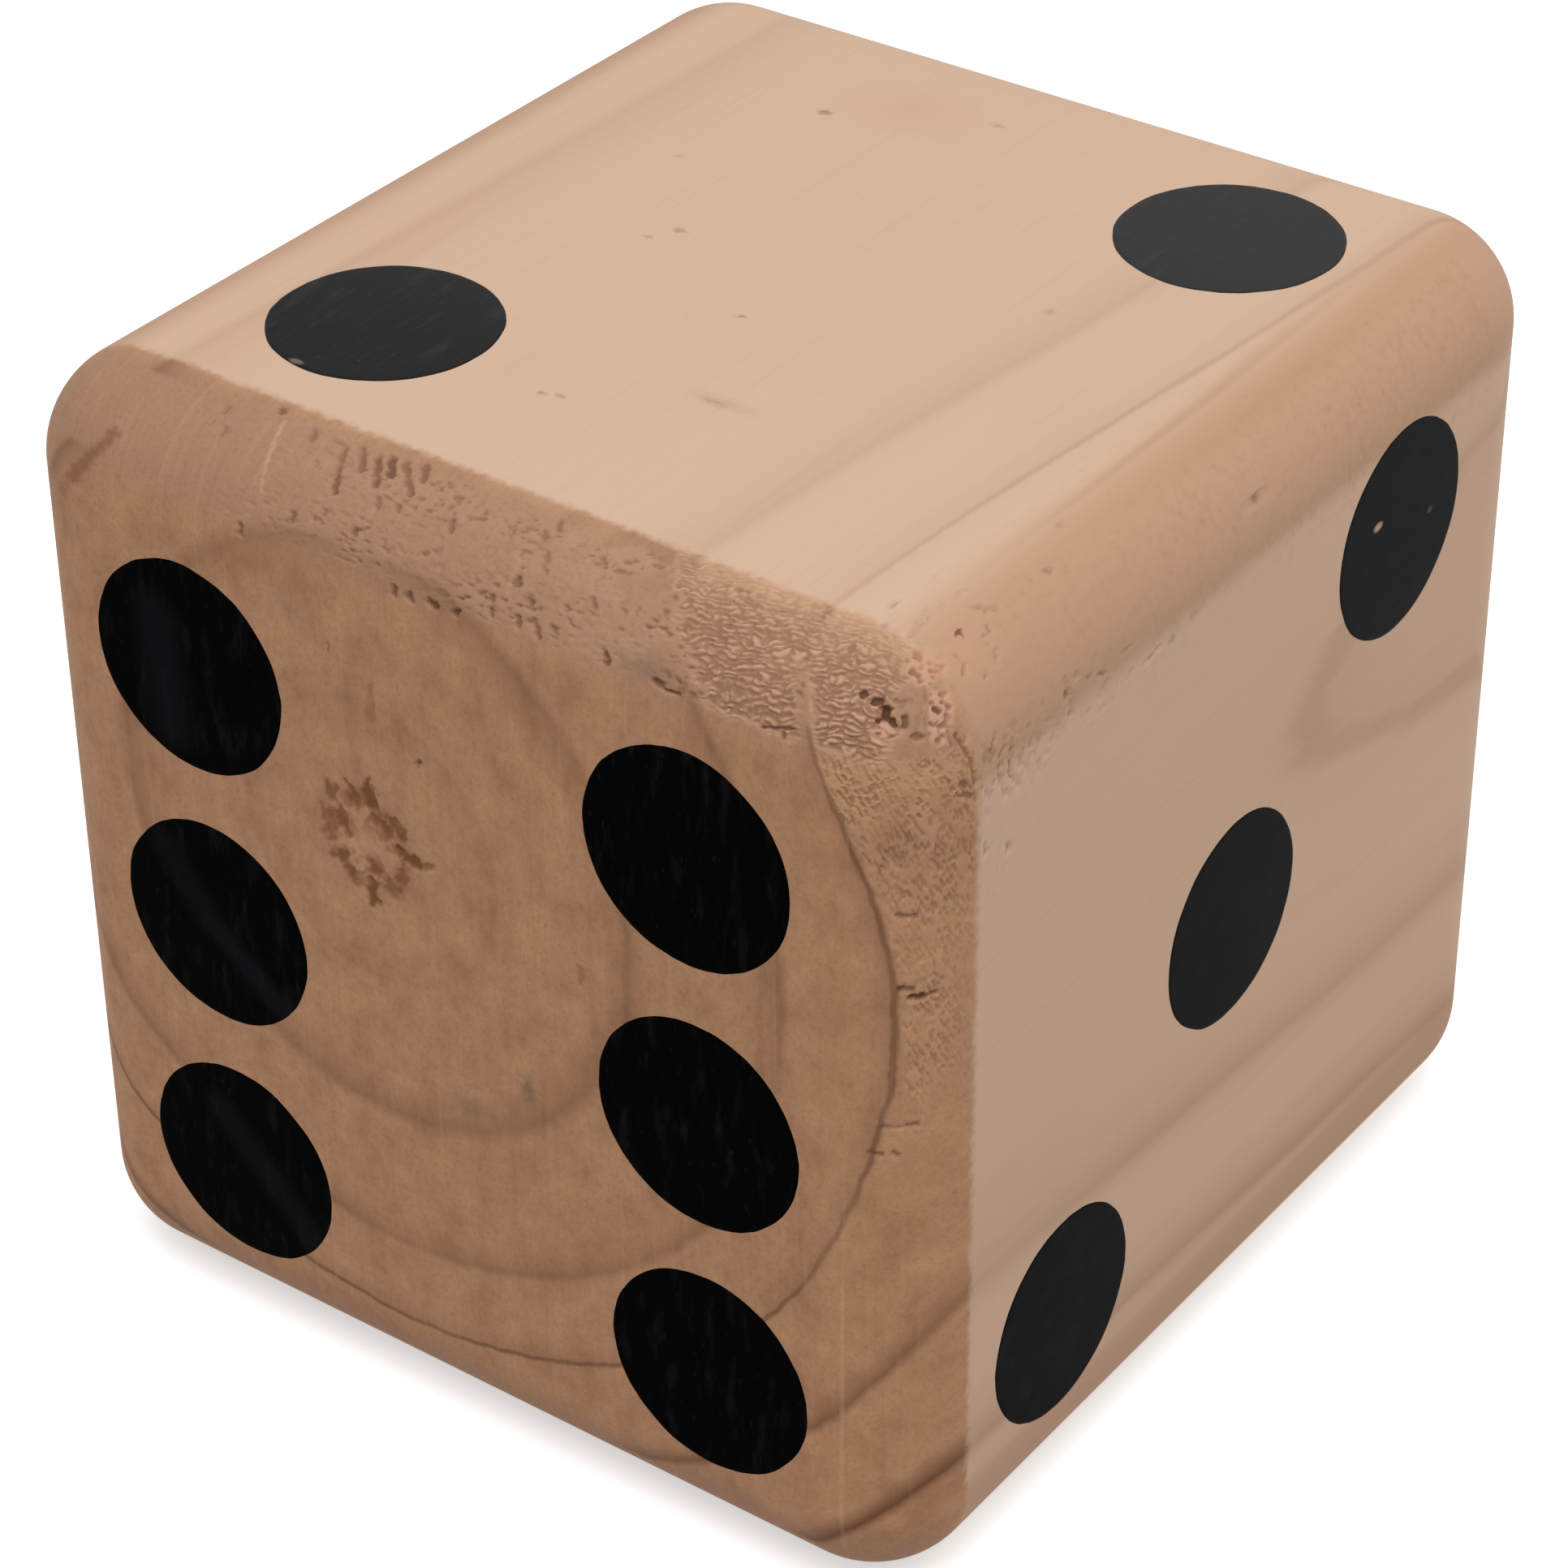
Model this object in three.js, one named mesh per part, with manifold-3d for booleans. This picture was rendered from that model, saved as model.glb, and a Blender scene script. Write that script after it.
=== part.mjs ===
// A wooden die for lawn games: one block sawn from a square softwood post, with every edge
// rounded over, and twenty-one pips stencilled on its six faces in black paint.
// Millimetres, +Z up. The origin is the middle of the face that the die stands on. The grain of
// the wood runs along Y, so the two Y faces are sawn end grain.
import * as THREE from "three";
import { RoundedBoxGeometry } from "three/addons/geometries/RoundedBoxGeometry.js";
import { mergeVertices } from "three/addons/utils/BufferGeometryUtils.js";
import Module from "manifold-3d";

// Block
const POST_WIDTH = 89; // planed section of the post, the same both ways
const BLOCK_LENGTH = 95.5; // sawn length along the grain
const EDGE_RADIUS = 9.5; // round-over of the twelve edges, sanded to a ball at each corner

// Pips
const PIP_DIAMETER = 19.5;
const PIP_INSET = 19.8; // from the sides of the post to the middles of the outer pips
const PIP_PITCH = POST_WIDTH / 2 - PIP_INSET; // from the middle of a face to its outer pips
const PAINT_DEPTH = 0.4; // how deep the paint has soaked into the wood
const PAINT_CLEARANCE = 0.05; // from the painted layer to the bare wood behind and round it

// How the hand-held stencil lay on a face: moved across and up in millimetres, and turned in
// degrees anticlockwise, for someone who looks straight at the face.
const TRUE_PRINT = { across: 0, up: 0, turn: 0 };
const TWO_PRINT = { across: 1.1, up: 1, turn: 2.2 };
const THREE_PRINT = { across: -1.2, up: -0.1, turn: 1.2 };
const SIX_PRINT = { across: 0.1, up: -1.3, turn: 1.5 };

// Facets
const EDGE_STEPS = 6; // along each half of a rounded edge's quarter circle
const PIP_STEPS = 40; // round a pip
const MERGE_DISTANCE = 1e-3;

const WOOD = { color: 0xc9a98a, roughness: 0.75, metalness: 0 };
const PAINT = { color: 0x191919, roughness: 0.5, metalness: 0 };

// Places on the stencil, in steps of the pitch across and up.
const PLACES = {
  upper_left: [-1, 1],
  upper_right: [1, 1],
  middle_left: [-1, 0],
  centre: [0, 0],
  middle_right: [1, 0],
  lower_left: [-1, -1],
  lower_right: [1, -1],
};
const CORNERS = ["upper_left", "upper_right", "lower_left", "lower_right"];

// The faces, with the directions that run across and up for someone who looks straight at each.
// Opposite faces add up to seven, and one, two and three run anticlockwise round their corner.
const FACES = [
  { name: "one", across: [-1, 0, 0], up: [0, 0, 1], print: TRUE_PRINT, places: ["centre"] },
  {
    name: "two",
    across: [1, 0, 0],
    up: [0, 1, 0],
    print: TWO_PRINT,
    places: ["lower_left", "upper_right"],
  },
  {
    name: "three",
    across: [0, 1, 0],
    up: [0, 0, 1],
    print: THREE_PRINT,
    places: ["lower_left", "centre", "upper_right"],
  },
  { name: "four", across: [0, -1, 0], up: [0, 0, 1], print: TRUE_PRINT, places: CORNERS },
  {
    name: "five",
    across: [1, 0, 0],
    up: [0, -1, 0],
    print: TRUE_PRINT,
    places: [...CORNERS, "centre"],
  },
  {
    name: "six",
    across: [1, 0, 0],
    up: [0, 0, 1],
    print: SIX_PRINT,
    places: [...CORNERS, "middle_left", "middle_right"],
  },
];

const wasm = await Module();
wasm.setup();

// The closed solid of a geometry that stands where the matrix puts it.
function solidOf(geometry, matrix) {
  const bare = geometry.clone().applyMatrix4(matrix);
  bare.deleteAttribute("normal");
  bare.deleteAttribute("uv");
  const merged = mergeVertices(bare, MERGE_DISTANCE);
  return new wasm.Manifold(
    new wasm.Mesh({
      numProp: 3,
      vertProperties: merged.getAttribute("position").array,
      triVerts: new Uint32Array(merged.index.array),
    }),
  );
}

// The geometry of a solid, seen from the frame of the object that will carry it.
function geometryOf(solid, carrier) {
  const { vertProperties, triVerts } = solid.getMesh();
  const geometry = new THREE.BufferGeometry()
    .setAttribute("position", new THREE.BufferAttribute(vertProperties, 3))
    .setIndex(new THREE.BufferAttribute(triVerts, 1))
    .applyMatrix4(carrier.matrixWorld.clone().invert());
  geometry.computeVertexNormals();
  return geometry;
}

// The outer form of the block, drawn in by the given depth on every side.
function blockForm(depth) {
  const width = POST_WIDTH - 2 * depth;
  const length = BLOCK_LENGTH - 2 * depth;
  const form = new RoundedBoxGeometry(width, length, width, EDGE_STEPS, EDGE_RADIUS - depth);
  return solidOf(form, new THREE.Matrix4().makeTranslation(0, 0, POST_WIDTH / 2));
}

// A round punch that stands across the surface at a pip, deep enough to pass the round-over.
function punch(pip, radius) {
  const cylinder = new THREE.CylinderGeometry(radius, radius, 2 * EDGE_RADIUS, PIP_STEPS);
  return solidOf(cylinder.rotateX(Math.PI / 2), pip.matrixWorld);
}

// A group whose origin is the middle of a face and whose Z axis points out of it.
function faceGroup({ name, across, up }) {
  const right = new THREE.Vector3(...across);
  const upward = new THREE.Vector3(...up);
  const outward = new THREE.Vector3().crossVectors(right, upward);
  const group = new THREE.Group();
  group.name = `face_${name}`;
  group.setRotationFromMatrix(new THREE.Matrix4().makeBasis(right, upward, outward));
  const reach = new THREE.Vector3(POST_WIDTH, BLOCK_LENGTH, POST_WIDTH).divideScalar(2);
  group.position.copy(outward).multiply(reach);
  group.position.z += POST_WIDTH / 2;
  return group;
}

// The stencil's own group on a face, moved and turned as it lay.
function printGroup({ across, up, turn }) {
  const group = new THREE.Group();
  group.position.set(across, up, 0);
  group.rotation.z = THREE.MathUtils.degToRad(turn);
  return group;
}

// An empty pip, still without its painted layer, at its place on the stencil.
function emptyPip(face, place) {
  const [column, row] = PLACES[place];
  const pip = new THREE.Mesh(undefined, new THREE.MeshStandardMaterial(PAINT));
  pip.name = `${face}_pip_${place}`;
  pip.position.set(column * PIP_PITCH, row * PIP_PITCH, 0);
  return pip;
}

const die = new THREE.Group();
die.name = "wooden_die";
const block = new THREE.Mesh(undefined, new THREE.MeshStandardMaterial(WOOD));
block.name = "die_block";
die.add(block);
const pips = [];
for (const face of FACES) {
  const print = printGroup(face.print);
  print.add(...face.places.map((place) => emptyPip(face.name, place)));
  pips.push(...print.children);
  die.add(faceGroup(face).add(print));
}
die.updateMatrixWorld(true);

// Each painted layer has an even depth and follows the surface, also over a rounded edge, and
// lies flush in a seat of the same outline.
const form = blockForm(0);
const bareUnderPaint = blockForm(PAINT_DEPTH);
const seatFloor = blockForm(PAINT_DEPTH + PAINT_CLEARANCE);
let wood = form;
for (const pip of pips) {
  const layer = form.intersect(punch(pip, PIP_DIAMETER / 2)).subtract(bareUnderPaint);
  pip.geometry = geometryOf(layer, pip);
  const seat = punch(pip, PIP_DIAMETER / 2 + PAINT_CLEARANCE).subtract(seatFloor);
  wood = wood.subtract(seat);
}
block.geometry = geometryOf(wood, block);

export default die;
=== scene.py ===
"""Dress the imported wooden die: a sawn softwood block with torn edges and black stencilled pips.

Lengths are millimetres in the part's own frame unless a name ends in _m. The grain runs along Y,
so the two Y faces are end grain, and the middle of the tree shows on the face of the six.
"""
import logging
import math
from dataclasses import dataclass
from enum import Enum

import bpy
import numpy as np
from bpy.types import Material
from bpy.types import Mesh
from bpy.types import Node
from bpy.types import NodeSocket
from bpy.types import NodeTree
from bpy.types import Object
from mathutils import Matrix
from mathutils import Vector
from mathutils import noise


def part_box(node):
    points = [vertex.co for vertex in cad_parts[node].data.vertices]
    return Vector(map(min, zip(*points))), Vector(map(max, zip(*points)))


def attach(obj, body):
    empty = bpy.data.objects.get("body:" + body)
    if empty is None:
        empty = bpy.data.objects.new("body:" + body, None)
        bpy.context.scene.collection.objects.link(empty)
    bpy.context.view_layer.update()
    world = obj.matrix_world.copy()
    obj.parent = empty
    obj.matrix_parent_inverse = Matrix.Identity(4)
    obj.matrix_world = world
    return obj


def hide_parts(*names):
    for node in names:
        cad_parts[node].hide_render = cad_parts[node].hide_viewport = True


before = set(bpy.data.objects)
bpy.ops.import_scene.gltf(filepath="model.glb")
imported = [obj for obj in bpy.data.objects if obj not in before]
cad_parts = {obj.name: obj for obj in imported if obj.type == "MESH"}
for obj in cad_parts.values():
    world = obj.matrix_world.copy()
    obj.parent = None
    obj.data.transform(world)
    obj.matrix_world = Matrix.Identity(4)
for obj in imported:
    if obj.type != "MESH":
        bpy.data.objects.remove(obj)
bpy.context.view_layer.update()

LOG = logging.getLogger("wooden_die")

MM = 0.001

# Photograph's width in pixels, and the camera's sensor in millimetres
IMAGE_WIDTH = 1932
SENSOR_WIDTH = 36.0

# Round-over of the block's edges, and the y in front of which its front edges lie, in millimetres
EDGE_RADIUS = 9.5
FRONT_EDGES = -36.0

# Numbers that give every painted pip an outline of its own
FIRST_PIP_SEED = 1.7
PIP_SEED_STEP = 5.3

# Where a mark has faded out, as a share of its reach, and where a stroke is full, as a share of its width
MARK_RIM = 1.15
STROKE_CORE = 0.2

WHITE = (1.0, 1.0, 1.0, 1.0)

Pair = tuple[float, float]
Triple = tuple[float, float, float]
Colour = tuple[float, float, float, float]
Value = NodeSocket | float


def shade(red: float, green: float, blue: float) -> Colour:
    """Turn a display colour, 0 to 255, into the linear colour that a shader takes.

    Args:
        red: Red as a screen shows it.
        green: Green as a screen shows it.
        blue: Blue as a screen shows it.

    Returns:
        The linear colour with full opacity.
    """
    linear = []
    for level in (red, green, blue):
        share = level / 255
        linear.append(share / 12.92 if share <= 0.04045 else ((share + 0.055) / 1.055) ** 2.4)
    return (linear[0], linear[1], linear[2], 1.0)


def smooth_step(low: float, high: float, value: np.ndarray) -> np.ndarray:
    """Rise smoothly from 0 at low to 1 at high.

    Args:
        low: Value where the rise starts.
        high: Value where the rise ends, which may lie below low.
        value: Values to look up.

    Returns:
        The height of the rise at each value.
    """
    share = np.clip((value - low) / (high - low), 0, 1)
    return share * share * (3 - 2 * share)


def noise_at(first: np.ndarray, second: np.ndarray, seed: float) -> np.ndarray:
    """Look up smooth noise, about -1 to 1, on a plane of the noise field.

    Args:
        first: First coordinate of each point.
        second: Second coordinate of each point.
        seed: Which plane of the field is cut.

    Returns:
        The noise at each point.
    """
    pairs = zip(first.tolist(), second.tolist())
    return np.array([noise.noise(Vector((a, b, seed))) for a, b in pairs])


class WoodSide(Enum):
    """Layers of measure that the block's mesh carries for its finish."""

    END = "end_grain"
    ROUTED = "routed"
    TOP_EDGE = "top_edge"
    HOLLOW = "hollow"
    TORN = "torn"
    CLUMP = "clump"
    FRAYED = "frayed"
    STAIN = "stain"


class PaintCoat(Enum):
    """How the paint dried: soaked into end grain, thin on a side, or full on top. Their colours also
    carry painted light, lighter on the top than on the sides.
    """

    SOAKED = "soaked"
    THIN = "thin"
    FULL = "full"


class Direction(Enum):
    """Axis that a face of the block points along."""

    X = 0
    Y = 1
    Z = 2


@dataclass(frozen=True)
class Mark:
    """A small stain, nick or smudge, with its middle and its reach along each axis."""

    middle: Triple
    reach: Triple
    strength: float = 1.0


@dataclass(frozen=True)
class Stroke:
    """A thin scratch, stain or sheen from one place to another, with its half width."""

    start: Triple
    end: Triple
    width: float
    strength: float = 1.0


@dataclass(frozen=True)
class Grain:
    """Fractal noise: the size of its features along each axis, and how its finer layers go on."""

    stretch: Triple
    detail: float = 2.0
    rough: float = 0.5


@dataclass(frozen=True)
class Fade:
    """A smooth change from nothing at one value of a measure to an amount at another."""

    none: float
    full: float
    amount: float = 1.0

    def at(self, measure: np.ndarray) -> np.ndarray:
        """Give the amount at each value."""
        return self.amount * smooth_step(self.none, self.full, measure)


@dataclass(frozen=True)
class Drift:
    """A random move of places: the size of a wobble along each axis, and how wide it is."""

    stretch: Triple
    amount: float


@dataclass(frozen=True)
class Veil:
    """A thin colour that grows from nothing at one level of a measure to its full amount at another."""

    low: float
    high: float
    amount: float
    colour: Colour


class NodeBoard:
    """Adds shader nodes to one node tree and links them as they are used."""

    def __init__(self, tree: NodeTree) -> None:
        """Start on an emptied tree."""
        self.tree = tree
        tree.nodes.clear()

    def node(self, kind: str, **settings: object) -> Node:
        """Add a node.

        Args:
            kind: Blender's name of the node type.
            **settings: Properties to set on the node.

        Returns:
            The new node.
        """
        made = self.tree.nodes.new(kind)
        for name, setting in settings.items():
            setattr(made, name, setting)
        return made

    def feed(self, socket: NodeSocket, source: Value | Triple | Colour) -> None:
        """Link a socket to another socket, or set its constant.

        Args:
            socket: Socket that takes the value.
            source: Socket that gives it, or the constant itself.
        """
        if isinstance(source, NodeSocket):
            self.tree.links.new(source, socket)
        else:
            socket.default_value = source

    def math(self, operation: str, first: Value, second: Value = 0.0, clamp: bool = False) -> NodeSocket:
        """Combine two numbers.

        Args:
            operation: Blender's name of the operation.
            first: First number.
            second: Second number, if the operation has one.
            clamp: Whether to keep the result between 0 and 1.

        Returns:
            The result.
        """
        made = self.node("ShaderNodeMath", operation=operation, use_clamp=clamp)
        self.feed(made.inputs[0], first)
        self.feed(made.inputs[1], second)
        return made.outputs[0]

    def vector(self, operation: str, first: NodeSocket, second: NodeSocket | Triple) -> NodeSocket:
        """Combine two vectors.

        Args:
            operation: Blender's name of the operation.
            first: First vector.
            second: Second vector.

        Returns:
            The resulting vector.
        """
        made = self.node("ShaderNodeVectorMath", operation=operation)
        self.feed(made.inputs[0], first)
        self.feed(made.inputs[1], second)
        return made.outputs["Vector"]

    def length(self, source: NodeSocket) -> NodeSocket:
        """Measure a vector.

        Args:
            source: Vector to measure.

        Returns:
            The vector's length.
        """
        made = self.node("ShaderNodeVectorMath", operation="LENGTH")
        self.feed(made.inputs[0], source)
        return made.outputs["Value"]

    def millimetres(self) -> NodeSocket:
        """Give the place on the piece in millimetres."""
        coordinates = self.node("ShaderNodeTexCoord").outputs["Object"]
        return self.vector("MULTIPLY", coordinates, (1 / MM, 1 / MM, 1 / MM))

    def noise(self, place: NodeSocket, grain: Grain) -> NodeSocket:
        """Add fractal noise.

        Args:
            place: Place on the piece in millimetres.
            grain: Size and layers of the noise.

        Returns:
            The noise, 0 to 1 with its middle at 0.5.
        """
        scaled = self.vector("DIVIDE", place, grain.stretch)
        made = self.node("ShaderNodeTexNoise", noise_dimensions="3D")
        self.feed(made.inputs["Vector"], scaled)
        made.inputs["Scale"].default_value = 1.0
        made.inputs["Detail"].default_value = grain.detail
        made.inputs["Roughness"].default_value = grain.rough
        return made.outputs[0]

    def fade(self, source: NodeSocket, fade: Fade) -> NodeSocket:
        """Look a measure up on a smooth change.

        Args:
            source: Measure to look up.
            fade: Change to follow.

        Returns:
            The amount at the measure.
        """
        made = self.node("ShaderNodeMapRange", interpolation_type="SMOOTHSTEP")
        self.feed(made.inputs["Value"], source)
        made.inputs["From Min"].default_value = fade.none
        made.inputs["From Max"].default_value = fade.full
        made.inputs["To Max"].default_value = fade.amount
        return made.outputs["Result"]

    def ramp(self, source: NodeSocket, stops: list[tuple[float, float]]) -> NodeSocket:
        """Look a number up on a line through grey stops.

        Args:
            source: Number between 0 and 1.
            stops: Position and level of each stop, in order.

        Returns:
            The level at the number.
        """
        made = self.node("ShaderNodeValToRGB")
        elements = made.color_ramp.elements
        while len(elements) < len(stops):
            elements.new(1.0)
        for element, (position, level) in zip(elements, stops):
            element.position = position
            element.color = (level, level, level, 1.0)
        self.feed(made.inputs["Fac"], source)
        return made.outputs["Color"]

    def blend(self, amount: Value, below: NodeSocket | Colour, above: NodeSocket | Colour) -> NodeSocket:
        """Lay one colour over another.

        Args:
            amount: How much of the upper colour shows.
            below: Colour below.
            above: Colour above.

        Returns:
            The blended colour.
        """
        made = self.node("ShaderNodeMix", data_type="RGBA", blend_type="MIX", clamp_factor=True)
        self.feed(made.inputs[0], amount)
        self.feed(made.inputs[6], below)
        self.feed(made.inputs[7], above)
        return made.outputs[2]

    def veil(self, below: NodeSocket | Colour, source: NodeSocket, veil: Veil) -> NodeSocket:
        """Lay a veil over a colour where a measure asks for it.

        Args:
            below: Colour below.
            source: Measure that the veil follows.
            veil: Veil to lay.

        Returns:
            The blended colour.
        """
        amount = self.fade(source, Fade(veil.low, veil.high, veil.amount))
        return self.blend(amount, below, veil.colour)

    def raised(self, height: NodeSocket, unit: float) -> NodeSocket:
        """Turn a height into the direction of an uneven surface.

        Args:
            height: Height of each place.
            unit: Length in metres that a height of 1 stands for.

        Returns:
            The direction of the surface.
        """
        made = self.node("ShaderNodeBump")
        made.inputs["Strength"].default_value = 1.0
        made.inputs["Distance"].default_value = unit
        self.feed(made.inputs["Height"], height)
        return made.outputs["Normal"]

    def show(self, shader: Node) -> None:
        """Let the surface show a shader."""
        surface = self.node("ShaderNodeOutputMaterial")
        self.feed(surface.inputs["Surface"], shader.outputs[0])

    def drift(self, place: NodeSocket, drift: Drift) -> NodeSocket:
        """Move places about at random, so that what is drawn there gets an uneven outline.

        Args:
            place: Place on the piece in millimetres.
            drift: Move to make.

        Returns:
            The moved places.
        """
        made = self.node("ShaderNodeTexNoise", noise_dimensions="3D")
        self.feed(made.inputs["Vector"], self.vector("DIVIDE", place, drift.stretch))
        made.inputs["Scale"].default_value = 1.0
        shift = self.vector("SUBTRACT", made.outputs["Color"], (0.5, 0.5, 0.5))
        width = (drift.amount, drift.amount, drift.amount)
        return self.vector("ADD", place, self.vector("MULTIPLY", shift, width))

    def layer(self, name: WoodSide) -> NodeSocket:
        """Read one of the measures that the mesh carries."""
        return self.node("ShaderNodeAttribute", attribute_name=name.value).outputs["Fac"]

    def marks(self, place: NodeSocket, marks: tuple[Mark, ...], core: float = 0.45) -> NodeSocket:
        """Add up small marks into one mask.

        Args:
            place: Place on the piece in millimetres, already made uneven.
            marks: Marks to draw.
            core: Share of the reach where a mark has its full strength.

        Returns:
            How strongly a mark covers each place, 0 to 1.
        """
        total: Value = 0.0
        for mark in marks:
            offset = self.vector("SUBTRACT", place, mark.middle)
            share = self.length(self.vector("DIVIDE", offset, mark.reach))
            mask = self.fade(share, Fade(MARK_RIM, core, mark.strength))
            total = self.math("MAXIMUM", mask, total)
        return total

    def strokes(self, place: NodeSocket, strokes: tuple[Stroke, ...]) -> NodeSocket:
        """Add up thin strokes into one mask.

        Args:
            place: Place on the piece in millimetres, already made uneven.
            strokes: Strokes to draw.

        Returns:
            How strongly a stroke covers each place, 0 to 1.
        """
        total: Value = 0.0
        for stroke in strokes:
            run = Vector(stroke.end) - Vector(stroke.start)
            offset = self.vector("SUBTRACT", place, stroke.start)
            dot = self.node("ShaderNodeVectorMath", operation="DOT_PRODUCT")
            self.feed(dot.inputs[0], offset)
            dot.inputs[1].default_value = run / run.length_squared
            share = self.math("ADD", dot.outputs["Value"], 0.0, clamp=True)
            step = self.node("ShaderNodeVectorMath", operation="SCALE")
            step.inputs[0].default_value = run
            self.feed(step.inputs["Scale"], share)
            away = self.length(self.vector("SUBTRACT", offset, step.outputs["Vector"]))
            mask = self.fade(away, Fade(stroke.width, STROKE_CORE * stroke.width, stroke.strength))
            total = self.math("MAXIMUM", mask, total)
        return total


@dataclass(frozen=True)
class Ring:
    """A growth ring: its radius, how dark its line and its band are, and the line's fade and width."""

    radius: float
    line: float
    band: float
    fade: float
    width: float = 0.5


@dataclass(frozen=True)
class PineFinish:
    """Bare softwood: pale along the grain, brown on end grain and on the routed edges."""

    roughness: float = 0.72
    pore_roughness: float = 0.16
    specular: float = 0.25

    # Growth rings, round a pith that leans a little from the front end to the back end
    pith_front: Pair = (-7.5, 57.4)
    pith_back: Pair = (-3.0, 59.0)
    pith_lean: Fade = Fade(-47.75, 47.75)
    ring_lean: Pair = (0.018, 0.02)
    ring_flatness: Pair = (1.02, 1.0)
    ring_wander: float = 1.4
    ring_ripple: float = 0.7
    ring_reach: float = 90.0
    sharp_ring: float = 49.1
    sharp_line: Fade = Fade(0.42, 0.06, 0.75)
    rings: tuple[Ring, ...] = (
        Ring(13.0, 0.16, 0.1, 3.0),
        Ring(26.4, 0.44, 0.15, 3.4, 1.3),
        Ring(40.4, 0.52, 0.15, 3.2, 0.8),
        Ring(49.1, 0.4, 0.2, 2.0, 0.5),
        Ring(58.7, 0.75, 0.8, 1.6, 0.7),
        Ring(68.2, 1.0, 1.0, 1.6, 0.8),
        Ring(77.0, 0.6, 0.6, 2.6),
    )
    band_profile: tuple[Pair, ...] = ((-4.5, 0.0), (-1.2, 1.0), (0.6, 0.8), (2.2, 0.0))
    wander_grain: Grain = Grain((26.0, 90.0, 26.0), 1.0)
    ripple_grain: Grain = Grain((2.5, 40.0, 2.5))
    fading_grain: Grain = Grain((16.0, 60.0, 16.0), 1.0)
    fading: Fade = Fade(0.3, 0.55)
    fading_amount: float = 0.3

    # Where end grain and routed edges begin
    ragged_grain: Grain = Grain((0.9, 0.9, 0.9), 3.0)
    ragged_width: float = 0.07
    end_edge: Fade = Fade(-0.02, 0.04)
    streak_grain: Grain = Grain((1.1, 46.0, 1.1), 4.0, 0.6)
    streak_width: float = 0.3
    routed_edge: Fade = Fade(0.05, 0.95)

    # Along the grain
    side_colour: Colour = shade(214, 181, 155)
    soft_grain: Grain = Grain((22.0, 70.0, 22.0), 4.0)
    soft_veil: Veil = Veil(0.45, 0.8, 0.3, shade(205, 168, 138))
    routed_colour: Colour = shade(196, 157, 129)
    band_amount: float = 0.2
    band_colour: Colour = shade(160, 116, 84)
    line_amount: float = 0.34
    line_colour: Colour = shade(140, 98, 68)
    fibre_grain: Grain = Grain((0.7, 34.0, 0.7), 3.0, 0.6)
    fibre_veil: Veil = Veil(0.5, 0.85, 0.16, shade(178, 138, 108))

    # End grain
    end_colour: Colour = shade(187, 141, 107)
    mottle_grain: Grain = Grain((3.6, 16.0, 4.8), 4.0, 0.66)
    dark_blotches: Veil = Veil(0.45, 0.74, 0.75, shade(160, 116, 83))
    light_blotches: Veil = Veil(0.5, 0.26, 0.6, shade(208, 158, 120))
    # Painted shade: the top round-overs of the end faces are darker
    shaded_top_edge_colour: Colour = shade(171, 131, 104)
    growth_grain: Grain = Grain((1.3, 1.0, 1.0), 3.0, 0.6)
    growth_veil: Veil = Veil(0.45, 0.8, 0.2, shade(160, 118, 88))
    ring_colour: Colour = shade(98, 58, 30)
    ring_clear: Fade = Fade(1.02, 0.93, 0.95)
    saw_grain: Grain = Grain((0.5, 10.0, 22.0))
    saw_shadows: Veil = Veil(0.55, 0.8, 0.2, shade(152, 112, 84))
    saw_lights: Veil = Veil(0.45, 0.25, 0.16, shade(206, 164, 134))
    pore_grain: Grain = Grain((0.34, 0.5, 0.42), 2.0, 0.7)
    pore_veil: Veil = Veil(0.44, 0.8, 0.34, shade(138, 99, 72))

    # Crumbled pith
    crumb_grain: Grain = Grain((1.5, 3.0, 1.6), 2.0, 0.6)
    crumb_pull: float = -2.4
    crumb_outside: Fade = Fade(4.0, 2.4)
    crumb_inside: Fade = Fade(0.2, 2.2)
    crumb_share: Fade = Fade(0.42, 0.56, 0.75)
    pith_glow: Veil = Veil(4.0, 1.0, 0.3, shade(208, 158, 128))
    crumb_colour: Colour = shade(148, 100, 70)
    pith_colour: Colour = shade(106, 57, 10)

    # Torn, frayed and crushed places, with pale fibres and painted highlights on crests, and painted
    # shade and some dirt in hollows
    flush_grain: Grain = Grain((3.5, 3.5, 3.5))
    flush_share: Fade = Fade(0.5, 0.75, 0.5)
    frayed_flush: float = 0.7
    frayed_lift: float = 0.45
    rosy_colour: Colour = shade(206, 156, 130)
    clump_colour: Colour = shade(170, 132, 103)
    clump_least: float = 0.6
    clump_mottle: float = 0.6
    # Pale lifted fibres with a painted highlight on the crests of torn places; the pale scratches take
    # this colour too
    pale_fibre_and_highlight_colour: Colour = shade(222, 182, 150)
    pale_and_highlight_share: Fade = Fade(0.2, 0.04, 0.5)
    # Painted shade, with some dirt, that darkens a place the deeper it is hollowed
    hollow_shade_and_dirt_veils: tuple[Veil, ...] = (
        Veil(0.12, 0.32, 0.45, shade(116, 78, 52)),
        Veil(0.29, 0.46, 0.7, shade(100, 66, 43)),
        Veil(0.55, 0.8, 0.6, shade(84, 52, 30)),
    )

    # Fibres, pores and torn specks that are finer than the mesh, with their heights
    fine_fibres: Grain = Grain((0.35, 9.0, 0.35), 3.0, 0.6)
    fibre_height: float = 0.02
    fine_pores: Grain = Grain((0.22, 0.6, 0.22), 3.0, 0.65)
    pore_height: float = 0.035
    fine_specks: Grain = Grain((0.45, 0.45, 0.45), 3.0, 0.65)
    speck_height: float = 0.09

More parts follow.
